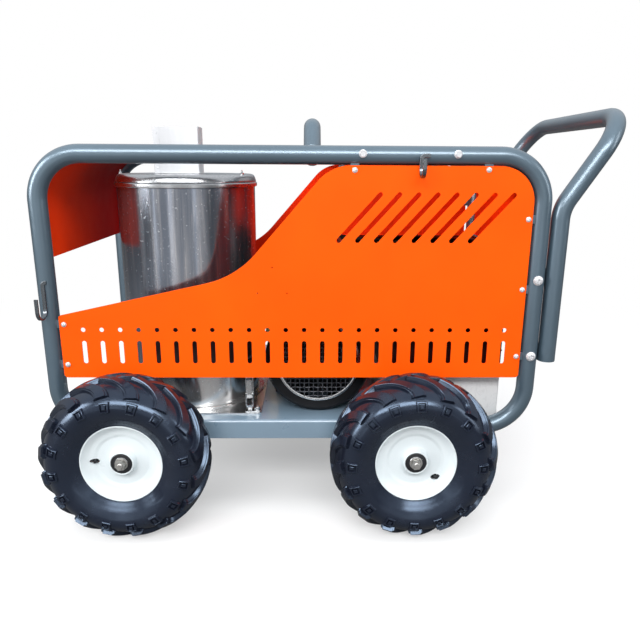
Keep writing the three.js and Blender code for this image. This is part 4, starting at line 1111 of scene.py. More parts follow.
# A thin drum turned about its axis, with a flared foot, a seam with spot welds and the latch's tab.
def boilerShell():
    radius, foot, skirt = boiler["radius"], boiler["foot"], boiler["skirt"]
    inner = radius - boiler["wall"]
    profile = [(inner, foot), (skirt, foot), (skirt, foot + 1.0), (skirt - 0.4, foot + 1.3),
               (radius + 1.4, foot + 1.4), (radius + 0.4, foot + 1.9), (radius, foot + 3),
               (radius, boiler["top"]), (inner, boiler["top"])]
    shell = lathe(profile, 144, closed=True)
    seam = roundedBox((radius - 0.6, -8, foot + 16), (radius + 1.1, 8, boiler["top"] - 14), 0.5, 2)
    spots = joined(rod("x", 2.2, (0, 0, z), radius + 0.9, radius + 1.6, 0.5, 12)
                   for z in range(260, 715, 30))
    tabOutline = [(112, -108, 2), (152, -112, 6), (162, -140, 6), (160, -169, 5), (128, -169, 5),
                  (118, -150, 12), (96, -122, 4)]
    tab = plate([roundedOutline(tabOutline)], latch["tabUnder"], latch["tabUnder"] + 3, "z", 0.4)
    return aboutBoiler(shell + (seam + spots).turned("Z", boiler["seamAngle"]) + tab)


stand("boiler_base_plate", basePlate(), finish="plate_steel")
shellPiece = stand("boiler_shell", boilerShell(), crease=28)
carve(shellPiece, rod("y", boiler["portRadius"], (boiler["x"], 0, boiler["portHeight"]), 40, 110, 0.5, 48),
      True)
lidPiece = stand("boiler_lid", aboutBoiler(lathe(boiler["lid"], 144)), crease=28, finish="lid_steel")
duct = boiler["duct"]
carve(lidPiece, roundedBox((duct["left"] + 3, duct["near"] + 3, 700),
                           (duct["right"] - 3, duct["far"] - 3, 800), 0.5, 1))
stand("boiler_clamp_ring", aboutBoiler(lathe(boiler["band"], 144, closed=True)), crease=28,
      finish="lid_steel")


def ductOutline(inset, corner):
    left, near, right, far = duct["left"], duct["near"], duct["right"], duct["far"]
    return rectangle(left + inset, near + inset, right - inset, far - inset, corner, 15)


# Four walls between two rectangles, with a lap seam and two rivets.
def chimney():
    walls = plate([ductOutline(0, 2.5), ductOutline(duct["wall"], 1.5)], duct["low"], duct["high"], "z", 0.3)
    lap = roundedBox((duct["left"] - 0.8, duct["near"] - 0.9, duct["low"] + 0.3),
                     (duct["left"] + 14, duct["near"] + 0.4, duct["high"] - 0.5), 0.3, 1)
    rivets = joined(panHead(2.0, 1.0).standing((duct["left"] + 7, duct["near"] - 0.8, z), (0, -1, 0))
                    for z in (duct["low"] + 12, duct["high"] - 14))
    return walls + lap + rivets


# A round wire wound about an upright axis: the wire's centre turns and climbs evenly.
def heatingCoil(radius, tube, pitch, low, turns, around=40, sides=8):
    turn = np.linspace(0, 2 * np.pi * turns, around * turns + 1)[:, None]
    section = np.linspace(0, 2 * np.pi, sides + 1)[None, :-1]
    out = radius + tube * np.cos(section)
    up = low + pitch * turn / (2 * np.pi) + tube * np.sin(section)
    return Shape(np.stack([out * np.cos(turn), out * np.sin(turn), up], -1), tubeFaces(len(turn), sides))


stand("chimney_duct", chimney(), finish="duct_sheet")
stand("heating_coil", aboutBoiler(heatingCoil(**boiler["coil"])), crease=60)
studs = boiler["lidStuds"]
lidNuts = [hexNut(7, 4, 2.4, stud=6.0).moved(*boilerPoint(angle, studs["radius"], boiler["lid"][4][1]))
           for angle in studs["angles"]]
addPiece("boiler_lid_nuts", joined(lidNuts), "zinc_steel", "chassis")
reach, boltSeat = boiler["boltReach"], boiler["plateFaces"][1]
plateBolts = [aboutBoiler(hexHead(13, 6, 10.0).moved(signX * reach, signY * reach, boltSeat))
              for signX, signY in boiler["plateBolts"]]
addPiece("boiler_plate_bolts", joined(plateBolts), "zinc_steel", "chassis")


# A foot with its bolt, and a strip bent to a hook.
def latchCatch():
    x, y, half, top = latch["x"], latch["y"], latch["half"], latch["catchZ"]
    foot = roundedBox((x - half, y - 10, 226.1), (x + 24, y + 6, 228.8), 0.6, 2)
    route = [(x, y + 2.5, 227), (x, y + 2.5, top - 5.7, 2.6), (x, y - 7.5, top - 5.7, 0),
             (x, y - 8.4, top - 3)]
    hook = sweep(bentPath(route, stepDegrees=15), flatSection(2 * half - 8, 2.4, 0.5), unitX)
    bolt = hexHead(11.0, 6.5, 7.6).moved(x + 17, y - 2, 228.6)
    return foot + hook + bolt


# A strip bent under the boiler's tab, with two ears and a pin across them.
def latchBody():
    x, y, half, pivotZ = latch["x"], latch["y"], latch["half"], latch["pivotZ"]
    seat = latch["tabUnder"] - 0.3
    route = [(x, y + 5.5, 264), (x, y + 5.5, seat - 1.1, 2), (x, y + 14, seat - 1.1)]
    plateShape = sweep(bentPath(route, stepDegrees=15), flatSection(2 * half, 2.0, 0.4), unitX)
    ears = joined(roundedBox((earX, y - 4, pivotZ - 5), (earX + 1.5, y + 5.2, pivotZ + 5), 0.5, 2)
                  for earX in (x - half, x + half - 1.5))
    pin = rod("x", 1.5, (0, y, pivotZ), x - half - 0.6, x + half + 0.6, 0.4, 16)
    rivets = joined(panHead(2.4, 1.2).standing((x, y + 4.5, z), (0, -1, 0)) for z in (270, 280))
    return plateShape + ears + pin + rivets


# A grip on an eye round the pin, and a wire bail that goes down round the catch.
def latchLever():
    x, y, pivotZ, low = latch["x"], latch["y"], latch["pivotZ"], latch["catchZ"] - 9.5
    route = [(x, y - 5, pivotZ + 1), (x, y - 5, pivotZ - 32, 8), (x, y - 7.5, pivotZ - 39)]
    grip = sweep(bentPath(route, stepDegrees=12), flatSection(12, 2.0, 0.6), unitX)
    eye = ring("x", 1.9, 4.0, (0, y, pivotZ), x - 6, x + 6, 0.4, 20)
    loop = [(x - 7.5, y - 4, pivotZ - 30), (x - 7.5, y - 4, low, 3), (x + 7.5, y - 4, low, 3),
            (x + 7.5, y - 4, pivotZ - 30)]
    bail = sweep(bentPath(loop, stepDegrees=15), circle(1.3, 12), unitY)
    bridge = rod("x", 2.0, (0, y - 4, pivotZ - 29), x - 8.5, x + 8.5, 0.5, 16)
    return grip + eye + bail + bridge


stand("latch_catch", latchCatch())
stand("latch_body", latchBody())
stand("latch_lever", latchLever())

burner = {
    "x": -330.0, "z": 340.0, "shellY": 74.0, "tube": 46.0, "inlet": (-340.0, 348.0), "inletBore": 28.0,
    "outline": [(-405, 268, 20), (-262, 268, 20), (-262, 418, 30), (-405, 418, 30)], "motorStart": -261.7,
    "motorY": 174.0, "flangeBolts": 57.0, "screws": [(-393, 280), (-274, 280), (-276, 404), (-391, 404)],
}


# A box and a door drawn across Y, with the fire tube, its flange, the air inlet and the fasteners.
def burnerHousing():
    face = burner["shellY"]
    centre = (burner["x"], 0, burner["z"])
    body = plate([roundedOutline(burner["outline"], 9)], face + 34, face + 94, "y", 4.0)
    inner = [(x + (2 if x < burner["x"] else -2), z + (2 if z < burner["z"] else -2), r)
             for x, z, r in burner["outline"]]
    door = plate([roundedOutline(inner, 9)], face + 95, face + 150, "y", 5.0)
    tube = rod("y", burner["tube"], centre, face - 22, face + 40, 0.8, 48)
    flange = rod("y", 66, centre, face + 4, face + 12, 1.0, 48)
    reach = burner["flangeBolts"] * 0.7
    spots = [(burner["x"] + reach * c, face + 12, burner["z"] + reach * s)
             for c, s in ((1, 1), (-1, 1), (-1, -1), (1, -1))]
    flangeBolts = joined(hexHead(10, 5, 8).standing(spot, (0, 1, 0)) for spot in spots)
    inletX, inletZ = burner["inlet"]
    inlet = rod("y", 34, (inletX, 0, inletZ), face + 140, face + 170, 1.2, 48)
    screws = joined(panHead(4.2, 2.4, 5.2).standing((x, face + 150, z), (0, 1, 0))
                    for x, z in burner["screws"])
    return body + door + tube + flange + flangeBolts + inlet + screws


# A ribbed can turned about the X axis, with four screws on its end.
def burnerMotor():
    start, ribs = burner["motorStart"], []
    for i in range(5):
        foot = start + 6 * i
        ribs += [(42, foot + 5), (42, foot + 7.4), (38.5, foot + 8.2), (38.5, foot + 10.2)]
    end = [(40, 37), (36, 42), (30, 44), (12, 44), (11, 42.6), (0, 42.6)]
    profile = [(0, start), (40, start), (40, start + 4)] + ribs + [(r, start + x) for r, x in end]
    centre = (0, burner["motorY"], burner["z"])
    spots = [(start + 43.2, burner["motorY"] + 27 * c, burner["z"] + 27 * s)
             for c, s in ((1, 0), (-1, 0), (0, 1), (0, -1))]
    screws = joined(panHead(3.4, 1.8).standing(spot, (1, 0, 0)) for spot in spots)
    return lathe(profile, 48, "x", centre) + screws


burnerPiece = stand("burner_housing", burnerHousing())
inletX, inletZ = burner["inlet"]
carve(burnerPiece, rod("y", burner["inletBore"], (inletX, 0, inletZ), burner["shellY"] + 60,
                       burner["shellY"] + 180, 0.4, 40), True)
stand("burner_motor", burnerMotor())
print("boiler, latch and burner made")

# Motor with its fan, cowl and grille.

motor = {
    "x": -24.0, "z": 345.0, "bodyFaces": (-149.7, 60.0), "tip": 108.0, "root": 98.0, "fins": 36,
    "shaft": 12.0,
    "feet": {"x": 74.0, "half": 14.0, "near": -110.0, "far": 30.0, "top": 302.0},
    "pads": {"half": 30.0, "near": -120.0, "far": 40.0, "top": 234.8, "boltX": 95.0},
    "terminals": {"left": -48.0, "right": 42.0, "near": -110.0, "far": -10.0, "low": 96.0, "lid": 14.0,
                  "high": 160.0},
    "gland": {"x": 41.0, "y": -60.0, "z": 122.0},
    "cowl": [(95.2, -245), (109, -245), (114, -244.2), (118, -241.2), (120, -236.8), (120.5, -232),
             (120.5, -150), (118, -150), (118, -232), (116, -238.4), (109, -242), (95.2, -242)],
    "meshRing": [(88.4, -246), (91.2, -247.2), (94, -246), (94.6, -244), (93.6, -242.6), (88.4, -242.6)],
    "mesh": {"pitch": 10.4, "wire": 1.15, "reach": 90.0, "y": -244.4, "wave": 1.1},
    "fan": {"blades": 7, "hub": 24.0, "tip": 83.0, "faces": (-221.0, -179.0), "thickness": 2.6,
            "sweep": 26.0, "steps": 14},
}


def atMotor(shape):
    return shape.moved(motor["x"], 0, motor["z"])


# Teeth round a circle: each has its corners at the given (radius, degrees) from its middle.
def toothed(count, pattern):
    corners = [polar(radius, i * 360 / count + degrees) for i in range(count) for radius, degrees in pattern]
    return np.array(corners)


# A finned barrel drawn across Y, its end shield, feet on pads and the terminal box on top.
def motorBody():
    low, high = motor["bodyFaces"]
    root, tip = motor["root"], motor["tip"]
    bore = motor["shaft"] + 0.5
    fin = [(root, -2.9), (root + 1, -1.7), (tip, -0.9), (tip, 0.9), (root + 1, 1.7), (root, 2.9)]
    finned = atMotor(plate([toothed(motor["fins"], fin), circle(bore, 32)], low, high - 14, "y", 0.5))
    profile = [(bore, high - 14.4), (tip, high - 14.4), (tip + 0.4, high - 13), (tip + 0.4, high - 5),
               (tip - 3, high - 1), (84, high), (bore, high)]
    shield = atMotor(lathe(profile, 64, "y", closed=True))
    x, z, seat = motor["x"], motor["z"], panSheet["seat"]
    foot, pad, terminals, gland = motor["feet"], motor["pads"], motor["terminals"], motor["gland"]
    feet, pads = [], []
    for middle in (x - foot["x"], x + foot["x"]):
        feet.append(roundedBox((middle - foot["half"], foot["near"], seat),
                               (middle + foot["half"], foot["far"], foot["top"]), 2.0))
        pads.append(roundedBox((middle - pad["half"], pad["near"], seat),
                               (middle + pad["half"], pad["far"], pad["top"]), 1.5))
    bolts = [hexHead(13, 7, 11).moved(x + s * pad["boltX"], y, pad["top"] - 0.2)
             for s in (-1, 1) for y in (pad["near"] + 15, pad["far"] - 15)]
    left, right = x + terminals["left"], x + terminals["right"]
    near, far = terminals["near"], terminals["far"]
    top = z + terminals["high"]
    box = roundedBox((left, near, z + terminals["low"]), (right, far, top - terminals["lid"]), 3.0)
    lid = roundedBox((left - 1, near - 1, top - terminals["lid"] + 1), (right + 1, far + 1, top), 3.0)
    screws = [panHead(3.6, 2.0).moved(screwX, y, top - 0.4)
              for screwX in (left + 6, right - 6) for y in (near + 6, far - 6)]
    out, glandY, glandZ = x + gland["x"], gland["y"], z + gland["z"]
    hexagon = hexHead(20, 9).standing((out, glandY, glandZ), (1, 0, 0))
    grommet = rod("x", 7.5, (0, glandY, glandZ), out + 7, out + 19, 2.0)
    return joined([finned, shield, *feet, *pads, *bolts, box, lid, *screws, hexagon, grommet])


# One wire of the mesh: it weaves over and under, so its height is a cosine along its length.
def meshWire(offset, phase, reach, pitch, wire, wave, sides=8):
    length = math.sqrt(reach ** 2 - offset ** 2)
    steps = max(6, int(2 * length / pitch * 4))
    along = np.linspace(-length, length, steps + 1)[:, None]
    turn = np.linspace(0, 2 * np.pi, sides + 1)[None, :-1]
    depth = wave * np.cos(np.pi * (along / pitch) + phase)
    coordinates = np.broadcast_arrays(offset + wire * np.cos(turn), depth + wire * np.sin(turn), along)
    last = steps * sides
    lids = [list(range(sides)), list(range(last, last + sides))[::-1]]
    return Shape(np.stack(coordinates, -1), gridFaces(steps + 1, sides) + lids)


# Upright and level wires that cross at an even pitch, each over one and under the next.
def motorMesh():
    mesh = motor["mesh"]
    pitch, reach = mesh["pitch"], mesh["reach"]
    wires = []
    for i in np.arange(-8, 9):
        upright = meshWire(i * pitch, np.pi * (i % 2), reach, pitch, mesh["wire"], mesh["wave"])
        level = meshWire(i * pitch, np.pi * ((i + 1) % 2), reach, pitch, mesh["wire"], mesh["wave"])
        wires += [upright, level.turned("Y", 90)]
    return atMotor(joined(wires).moved(y=mesh["y"]))


# A curved blade: its angle grows with the radius, slowly at the hub and faster towards the tip.
def fanBlade(turn):
    fan = motor["fan"]
    (low, high), half, steps = fan["faces"], fan["thickness"] / 2, fan["steps"]
    radius = np.linspace(fan["hub"] - 2, fan["tip"], steps)
    bend = np.radians(turn + fan["sweep"] * ((radius - fan["hub"]) / (fan["tip"] - fan["hub"])) ** 1.4)
    rows = []
    for offset, y in ((half, low), (half, high), (-half, high), (-half, low)):
        rows.append(np.stack([radius * np.cos(bend) - offset * np.sin(bend), np.full(steps, y),
                              radius * np.sin(bend) + offset * np.cos(bend)], -1))
    last = 4 * (steps - 1)
    return Shape(np.stack(rows, 1), gridFaces(steps, 4) + [[0, 1, 2, 3], list(range(last, last + 4))[::-1]])


# Curved blades round a hub and a disc, on the motor's spindle.
def motorFan():
    fan = motor["fan"]
    low, high = fan["faces"]
    blades = joined(fanBlade(i * 360 / fan["blades"]) for i in range(fan["blades"]))
    hub = rod("y", fan["hub"], (0, 0, 0), low - 3, high + 3, 2.0, 40)
    disc = ring("y", 23, 60, (0, 0, 0), high - 2, high + 0.5, 0.5, 48)
    spindle = rod("y", motor["shaft"] - 0.2, (0, 0, 0), -227, 97.5, 1.2, 32)
    return atMotor(blades + hub + disc + spindle)


stand("motor_body", motorBody())
cowlScrews = []
for cosine, sine in circle(1.0, 4, 45):
    spot = (motor["x"] + 119 * cosine, -160, motor["z"] + 119 * sine)
    cowlScrews.append(panHead(4.0, 2.2, 5.0).standing(spot, (cosine, 0, sine)))
stand("motor_fan_cowl", atMotor(lathe(motor["cowl"], 112, "y", closed=True)) + joined(cowlScrews))
stand("motor_grille", atMotor(lathe(motor["meshRing"], 112, "y", closed=True)), crease=50)
addPiece("motor_mesh", motorMesh(), "dark_wire", bodyOfNode["motor_grille"], crease=50)
stand("motor_fan", motorFan())
print("motor made")

# Pump

pump = {
    "left": -100.0, "right": 52.0, "near": 86.0, "far": 186.0, "bottom": 285.0, "top": 405.0,
    "head": {"left": -166.0, "near": 92.0, "far": 180.0, "bottom": 300.0, "top": 392.0},
    "unloader": {"x": -134.0, "y": 136.0, "top": 462.0}, "plungers": (108.0, 136.0, 164.0),
}


# A box drawn across Y, its rear cover, the bell to the motor, a sight glass, a filler and ribs.
def pumpCrankcase():
    outline = [(pump["left"], pump["bottom"], 14), (pump["right"], pump["bottom"], 30),
               (pump["right"], pump["top"], 30), (pump["left"], pump["top"], 14)]
    body = plate([roundedOutline(outline, 6)], pump["near"], pump["far"], "y", 3.0)
    inner = roundedOutline([(-88, 297, 10), (40, 297, 24), (40, 393, 24), (-88, 393, 10)], 6)
    cover = plate([inner], pump["far"] - 1, pump["far"] + 3, "y", 1.0)
    bellProfile = [(0, 60.3), (86, 60.3), (88, 62), (88, 66), (80, 70), (66, 80), (58, 88), (0, 88)]
    bell = atMotor(lathe(bellProfile, 64, "y"))
    spots = [(x, pump["far"] + 3, z) for x in (-80, 32) for z in (305, 385)]
    spots += [(motor["x"] + 79 * math.cos(a), 66, motor["z"] + 79 * math.sin(a))
              for a in np.radians([30, 150, 210, 330])]
    bolts = [hexHead(9, 4.5).standing(spot, (0, 1, 0)) for spot in spots]
    glassFace, middle = pump["far"] + 2, (motor["x"], 0, motor["z"])
    sight = ring("y", 12, 16, middle, glassFace, glassFace + 5, 1.0, 36)
    glass = rod("y", 12.2, middle, glassFace, glassFace + 2, 0.4, 36)
    filler = lathe([(0, 402), (9, 402), (9, 410), (12, 411), (12, 419), (10.6, 421), (0, 421)], 10)
    filler = filler.moved(motor["x"], 140, 0)
    ribs = [roundedBox((x, pump["near"] + 12, pump["top"] - 1), (x + 3, pump["far"] - 10, pump["top"] + 6),
                       1.0, 2)
            for x in (-84, -72, -60, 4, 16, 28)]
    return joined([body, cover, bell, *bolts, sight, glass, filler, *ribs])


# A block with two rows of valve caps, and the unloader valve's body, neck and plugs on top.
def pumpHead():
    head, unloader = pump["head"], pump["unloader"]
    left, right, top, bottom = head["left"], pump["left"] - 0.3, head["top"], head["bottom"]
    block = roundedBox((left, head["near"], bottom), (right, head["far"], top), 2.5)
    caps = [hexHead(19, 7).standing((left + 0.3, y, top - 22), (-1, 0, 0), 15) for y in pump["plungers"]]
    caps += [hexHead(19, 7).standing((left + 22, y, bottom + 0.3), (0, 0, -1), 15) for y in pump["plungers"]]
    bolts = [panHead(5.0, 5.0).standing((left + 0.2, y, z), (-1, 0, 0))
             for y in (98, 122, 150, 174) for z in (310, 352)]
    x, y, high = unloader["x"], unloader["y"], unloader["top"]
    body = roundedBox((x - 17, y - 17, top - 1), (x + 17, y + 17, top + 34), 2.0)
    neck = lathe([(13, 0), (13, 7)], 6).moved(x, y, top + 33.5)
    screw = thread(10.6, top + 40, high, 1.6, "z", (x, y, 0))
    endPlug = hexHead(14, 5).standing((x - 16.8, y, top + 17), (-1, 0, 0))
    nearPlug = hexHead(14, 5).standing((x, y - 16.8, top + 17), (0, -1, 0))
    return joined([block, *caps, *bolts, body, neck, screw, endPlug, nearPlug])


# A grip whose radius swings in and out round its rim, with a rounded top.
def flutedKnob(radius, depth, flutes, low, high, edge=2.0, around=96):
    turn = np.linspace(0, 2 * np.pi, around + 1)[None, :-1]
    profile = np.array([(0, low), (radius - 1, low), (radius, low + 1), (radius, high - edge),
                        (radius - 0.6 * edge, high - 0.3 * edge), (radius - 2 * edge, high),
                        (radius * 0.55, high), (radius * 0.5, high - 0.8), (0, high - 0.8)])
    share = np.clip((profile[:, 0] / radius - 0.6) / 0.3, 0, 1)[:, None]
    out = profile[:, :1] - depth * share * (0.5 - 0.5 * np.cos(flutes * turn)) ** 1.5
    up = np.broadcast_to(profile[:, 1:], out.shape)
    return Shape(np.stack([out * np.cos(turn), out * np.sin(turn), up], -1), tubeFaces(len(profile), around))


stand("pump_crankcase", pumpCrankcase())
stand("pump_head", pumpHead())
unloader = pump["unloader"]
knob = flutedKnob(19, 3.2, 8, unloader["top"] + 0.3, unloader["top"] + 24.3)
stand("pressure_knob", knob.moved(unloader["x"], unloader["y"], 0), crease=50)
print("pump made")

# Tank and controls

tank = {
    "low": (120.0, -248.0, panSheet["seat"]), "high": (388.5, 100.0, 480.0), "edge": 3.0,
    "filler": (345.0, -204.0), "neckTop": 512.0, "neckRadius": 30.0, "seamZ": 372.0, "skirtFoot": 205.0,
}


# A rounded box with a seam round it, a filler neck on a weld, a drain plug and a skirt at the right.
def fuelTank():
    low, high = np.array(tank["low"]), np.array(tank["high"])
    x, y = tank["filler"]
    shell = roundedBox(low, high, tank["edge"], 4)
    seam = roundedBox((low[0] - 0.8, low[1] - 0.8, tank["seamZ"] - 1.5),
                      (high[0] + 0.8, high[1] + 0.8, tank["seamZ"] + 1.5), 0.7, 2)
    neck = ring("z", tank["neckRadius"] - 2.5, tank["neckRadius"], (x, y, 0), high[2] - 1, tank["neckTop"],
                0.6, 48)
    around = circle(tank["neckRadius"] + 0.6, 48, centre=(x, y))
    bead = weldBead(np.column_stack([around, np.full(48, high[2] + 0.4)]), 1.4)
    drain = hexHead(17, 7, 13).standing((low[0] + 40, low[1] + 0.2, low[2] + 22), (0, -1, 0))
    skirt = roundedBox((panSheet["right"] + 2, low[1], tank["skirtFoot"]),
                       (high[0], low[1] + 2, low[2] + 8), 0.6, 2)
    return shell + seam + neck + bead + drain + skirt


# A fluted cap with a bar across it.
def tankCap():
    x, y = tank["filler"]
    seat = tank["neckTop"] + 0.3
    lower = flutedKnob(37, 2.4, 20, seat - 16, seat + 5, 1.6, 160)
    grip = roundedBox((-30, -5, seat + 3), (30, 5, seat + 8), 1.8)
    return (lower + grip).moved(x, y, 0)


capPiece = stand("tank_cap", tankCap(), crease=45)
fillerAxis, neckTop = (*tank["filler"], 0), tank["neckTop"]
carve(capPiece, rod("z", tank["neckRadius"] + 1, fillerAxis, neckTop - 30, neckTop + 0.3, 0.4, 48), True)
tankPiece = stand("fuel_tank", fuelTank(), finish="tank_sheet")
carve(tankPiece, roundedBox(np.array(tank["low"]) + 2, np.array(tank["high"]) - 2, 4.0, 3), True)
bore = rod("z", tank["neckRadius"] - 2.5, fillerAxis, tank["high"][2] - 10, neckTop + 4, 0.2, 48)
carve(tankPiece, bore, True)

controls = {
    "low": (30.0, -160.0, 485.3), "high": (405.0, 120.0, 587.0),
    "feet": [(140, -140), (370, -140), (140, 80), (370, 80)],
    "gland": (-130.0, 505.0), "face": 441.3, "gauge": (58.0, 640.0), "gaugeRadius": 31.0, "dialDepth": 20.4,
    "switch": (-70.0, 640.0),
}


# A box with a lid, four feet, four screws and a cable gland on its right end.
def controlBox():
    low, high = np.array(controls["low"]), np.array(controls["high"])
    body = roundedBox(low, high - [0, 0, 12], 2.0)
    lid = roundedBox((low[0] - 1.2, low[1] - 1.2, high[2] - 11.4), high + [1.2, 1.2, 0], 2.0)
    feet = [roundedBox((x - 8, y - 8, 480.3), (x + 8, y + 8, low[2] + 1), 1.0, 2)
            for x, y in controls["feet"]]
    screws = [panHead(3.6, 2.0, 4.6).moved(x, y, high[2] - 0.2)
              for x in (low[0] + 12, high[0] - 12) for y in (low[1] + 12, high[1] - 12)]
    y, z = controls["gland"]
    face = high[0]
    nut = lathe([(6, 0), (13, 0), (13, 7), (12.4, 8), (6, 8)], 6, "x", (face - 0.2, y, z), closed=True)
    domeProfile = [(6, 8), (11.4, 8), (11.4, 12), (12.2, 12.6), (12.2, 17), (11, 21), (8.6, 24), (6, 24)]
    dome = lathe(domeProfile, 10, "x", (face, y, z), closed=True)
    return joined([body, lid, *feet, *screws, nut, dome])


boxPiece = stand("control_box", controlBox())
y, z = controls["gland"]
carve(boxPiece, rod("x", 6, (0, y, z), controls["high"][0] - 10, controls["high"][0] + 30, 0.2, 32), True)


# Raised characters that stand upright on a face that looks along +X.
def lettering(words, size, depth):
    curve = bpy.data.curves.new("lettering", "FONT")
    curve.body = words
    curve.size = size
    curve.align_x, curve.align_y = "CENTER", "CENTER"
    curve.extrude = depth / 2
    curve.resolution_u = 4
    points, faces = curveMesh(curve)
    return Shape(points[:, [2, 0, 1]], faces)


# Gauge and switch, which sit in the hood.

# The gauge's can and bezel, one profile turned about the X axis.
def gaugeCan():
    y, z = controls["gauge"]
    radius, face = controls["gaugeRadius"], controls["face"]
    profile = [(0, face), (radius - 5, face), (radius - 4, face + 1), (radius - 4, face + 8),
               (radius - 1.2, face + 9.5), (radius - 0.4, face + 14), (radius, face + 18),
               (radius, face + 24.8), (radius - 0.8, face + 26), (radius - 2.4, face + 26),
               (radius - 3, face + 25.2), (radius - 3, face + controls["dialDepth"]),
               (0, face + controls["dialDepth"])]
    return lathe(profile, 64, "x", (0, y, z))


# A dial's face lies in the plane x = level: degrees run clockwise as seen from the handle, 0 at the top.
def onDial(radius, degrees, level):
    y, z = controls["gauge"]
    turn = math.radians(degrees)
    return (level, y + radius * math.sin(turn), z + radius * math.cos(turn))


# Ticks over 270 degrees, with a number at every fifth.
def dialMarks():
    level = controls["face"] + controls["dialDepth"]
    marks = []
    for i in range(26):
        degrees = -135 + i * 10.8
        length, width = (5.0, 0.9) if i % 5 == 0 else (2.6, 0.5)
        tick = roundedBox((-0.1, -width / 2, -length / 2), (0.25, width / 2, length / 2), 0.05, 1)
        marks.append(tick.turned("X", -degrees).moved(*onDial(23.5 - length / 2, degrees, level)))
        if i % 5 == 0:
            marks.append(lettering(str(i * 10), 4.4, 0.4).moved(*onDial(14.6, degrees, level)))
    return joined(marks)


# A tapered pointer on a boss, turned to the scale's start.
def gaugeNeedle():
    y, z = controls["gauge"]
    level = controls["face"] + controls["dialDepth"] + 0.3
    tip = controls["gaugeRadius"] - 8
    outline = np.array([(-1.6, -7), (1.6, -7), (0.5, tip), (-0.5, tip)])
    pointer = plate([outline], level + 1, level + 2, "x", 0.15)
    boss = rod("x", 4, (0, 0, 0), level, level + 3, 0.6, 24)
    return pointer.turned("X", 135).moved(0, y, z) + boss.moved(0, y, z)


# A turned base with a grip across it.
def mainSwitch():
    y, z = controls["switch"]
    face = controls["face"]
    profile = [(0, face), (20, face), (20, face + 7), (18.4, face + 9.6), (0, face + 10)]
    base = lathe(profile, 48, "x", (0, y, z))
    return base + roundedBox((face + 8, y - 5, z - 19), (face + 28, y + 5, z + 19), 2.0)


# A square plate with a round hole and a screw in each corner.
def switchPlate():
    y, z = controls["switch"]
    face = controls["face"]
    outlines = [rectangle(y - 30, z - 30, y + 30, z + 30, 5), circle(20.6, 48, centre=(y, z))]
    sheet = plate(outlines, face, face + 1.2, "x", 0.2)
    screws = joined(panHead(2.6, 1.4).standing((face + 1.1, y + dy, z + dz), (1, 0, 0))
                    for dy in (-24, 24) for dz in (-24, 24))
    return sheet + screws


# The figures for off and on.
def switchMarks():
    y, z = controls["switch"]
    level = controls["face"] + 1.2
    off = lettering("0", 7.0, 0.5).moved(level, y, z + 25.4)
    on = lettering("1", 7.0, 0.5).moved(level, y + 25.4, z)
    return off + on


stand("pressure_gauge", gaugeCan())
addPiece("gauge_marks", dialMarks(), "black_plastic", "chassis")
stand("gauge_needle", gaugeNeedle())
stand("main_switch", mainSwitch())
addPiece("switch_plate", switchPlate(), "brushed_steel", "chassis")
addPiece("switch_marks", switchMarks(), "black_plastic", "chassis")
print("tank and controls made")

# Water connections and pipes

plumbing = {
    "water_inlet": {"x": 340.0, "y": 205.0, "z": 268.0, "mouth": 398.0, "bore": 10.0},
    "pressure_outlet": {"x": -504.0, "y": 190.0, "z": 272.0, "mouth": -566.0, "bore": 8.0},
    "pipes": {
        "suction_pipe": (10.0, [(321.5, 205, 268), (-132, 215, 268, 40), (-132, 222, 345, 30),
                                (-132, 180.5, 345)]),
        "feed_pipe": (8.0, [(-166.5, 136, 330), (-208, 136, 330, 22), (*boilerPoint(44, 205, 300), 22),
                            boilerPoint(44, 158.5, 300)]),
        "outlet_pipe": (8.0, [boilerPoint(150, 158.5, 430), (*boilerPoint(150, 200, 430), 24),
                              (-478, 120, 330, 30), (-430, 190, 272, 24),
                              (-485.5, 190, 272)]),
    },
}


# A coupling along X: a hexagon by the bracket, a threaded run and a knurled collar open at its mouth.
def coupling(x, y, z, mouth, bore):
    way = 1 if mouth > x else -1
    hexagon = lathe([(bore, 1.8), (17, 1.8), (17, 13), (16, 14.4), (bore, 14.4)], 6, closed=True)
    reach = abs(mouth - x)
    steps = np.arange(int((reach - 30) / 1.8))
    ridges = np.stack([np.column_stack([np.full(len(steps), 14.6), 15.2 + steps * 1.8]),
                       np.column_stack([np.full(len(steps), 13.2), 16.1 + steps * 1.8])], 1).reshape(-1, 2)
    threaded = lathe(np.vstack([[[bore, 14]], ridges, [[bore, 16 + len(steps) * 1.8]]]), 32, closed=True)
    collarProfile = [(bore, reach - 14), (18.2, reach - 14), (19, reach - 13), (19, reach - 1.4),
                     (17.8, reach), (bore + 1, reach), (bore, reach - 1)]
    collar = lathe(collarProfile, 40, closed=True)
    tail = lathe([(0, -18), (12, -18), (13.4, -16.6), (13.4, -2), (0, -2)], 32)
    backNut = lathe([(0, -9), (17, -9), (17, -1.8), (0, -1.8)], 6)
    return joined([hexagon, threaded, collar, tail, backNut]).standing((x, y, z), (way, 0, 0), 0)


# A strip bent up from the pan to hold a coupling, with two bolts.
def couplingBracket(x, y, z, mouth):
    way = 1 if mouth > x else -1
    heel = sweep(bentPath([(x - way * 30, y, 224.3), (x, y, 224.3, 5), (x, y, z + 30)], stepDegrees=10),
                 flatSection(64, 3.0, 0.6), unitY)
    bolts = [hexHead(10, 5, 8).moved(x - way * 20, y + dy, 225.8) for dy in (-22, 22)]
    return heel + joined(bolts)


for name in ("water_inlet", "pressure_outlet"):
    fitting = plumbing[name]
    stand(name, coupling(**fitting))
    bracket = {key: value for key, value in fitting.items() if key != "bore"}
    addPiece(f"{name}_bracket", couplingBracket(**bracket), "zinc_steel", "chassis")


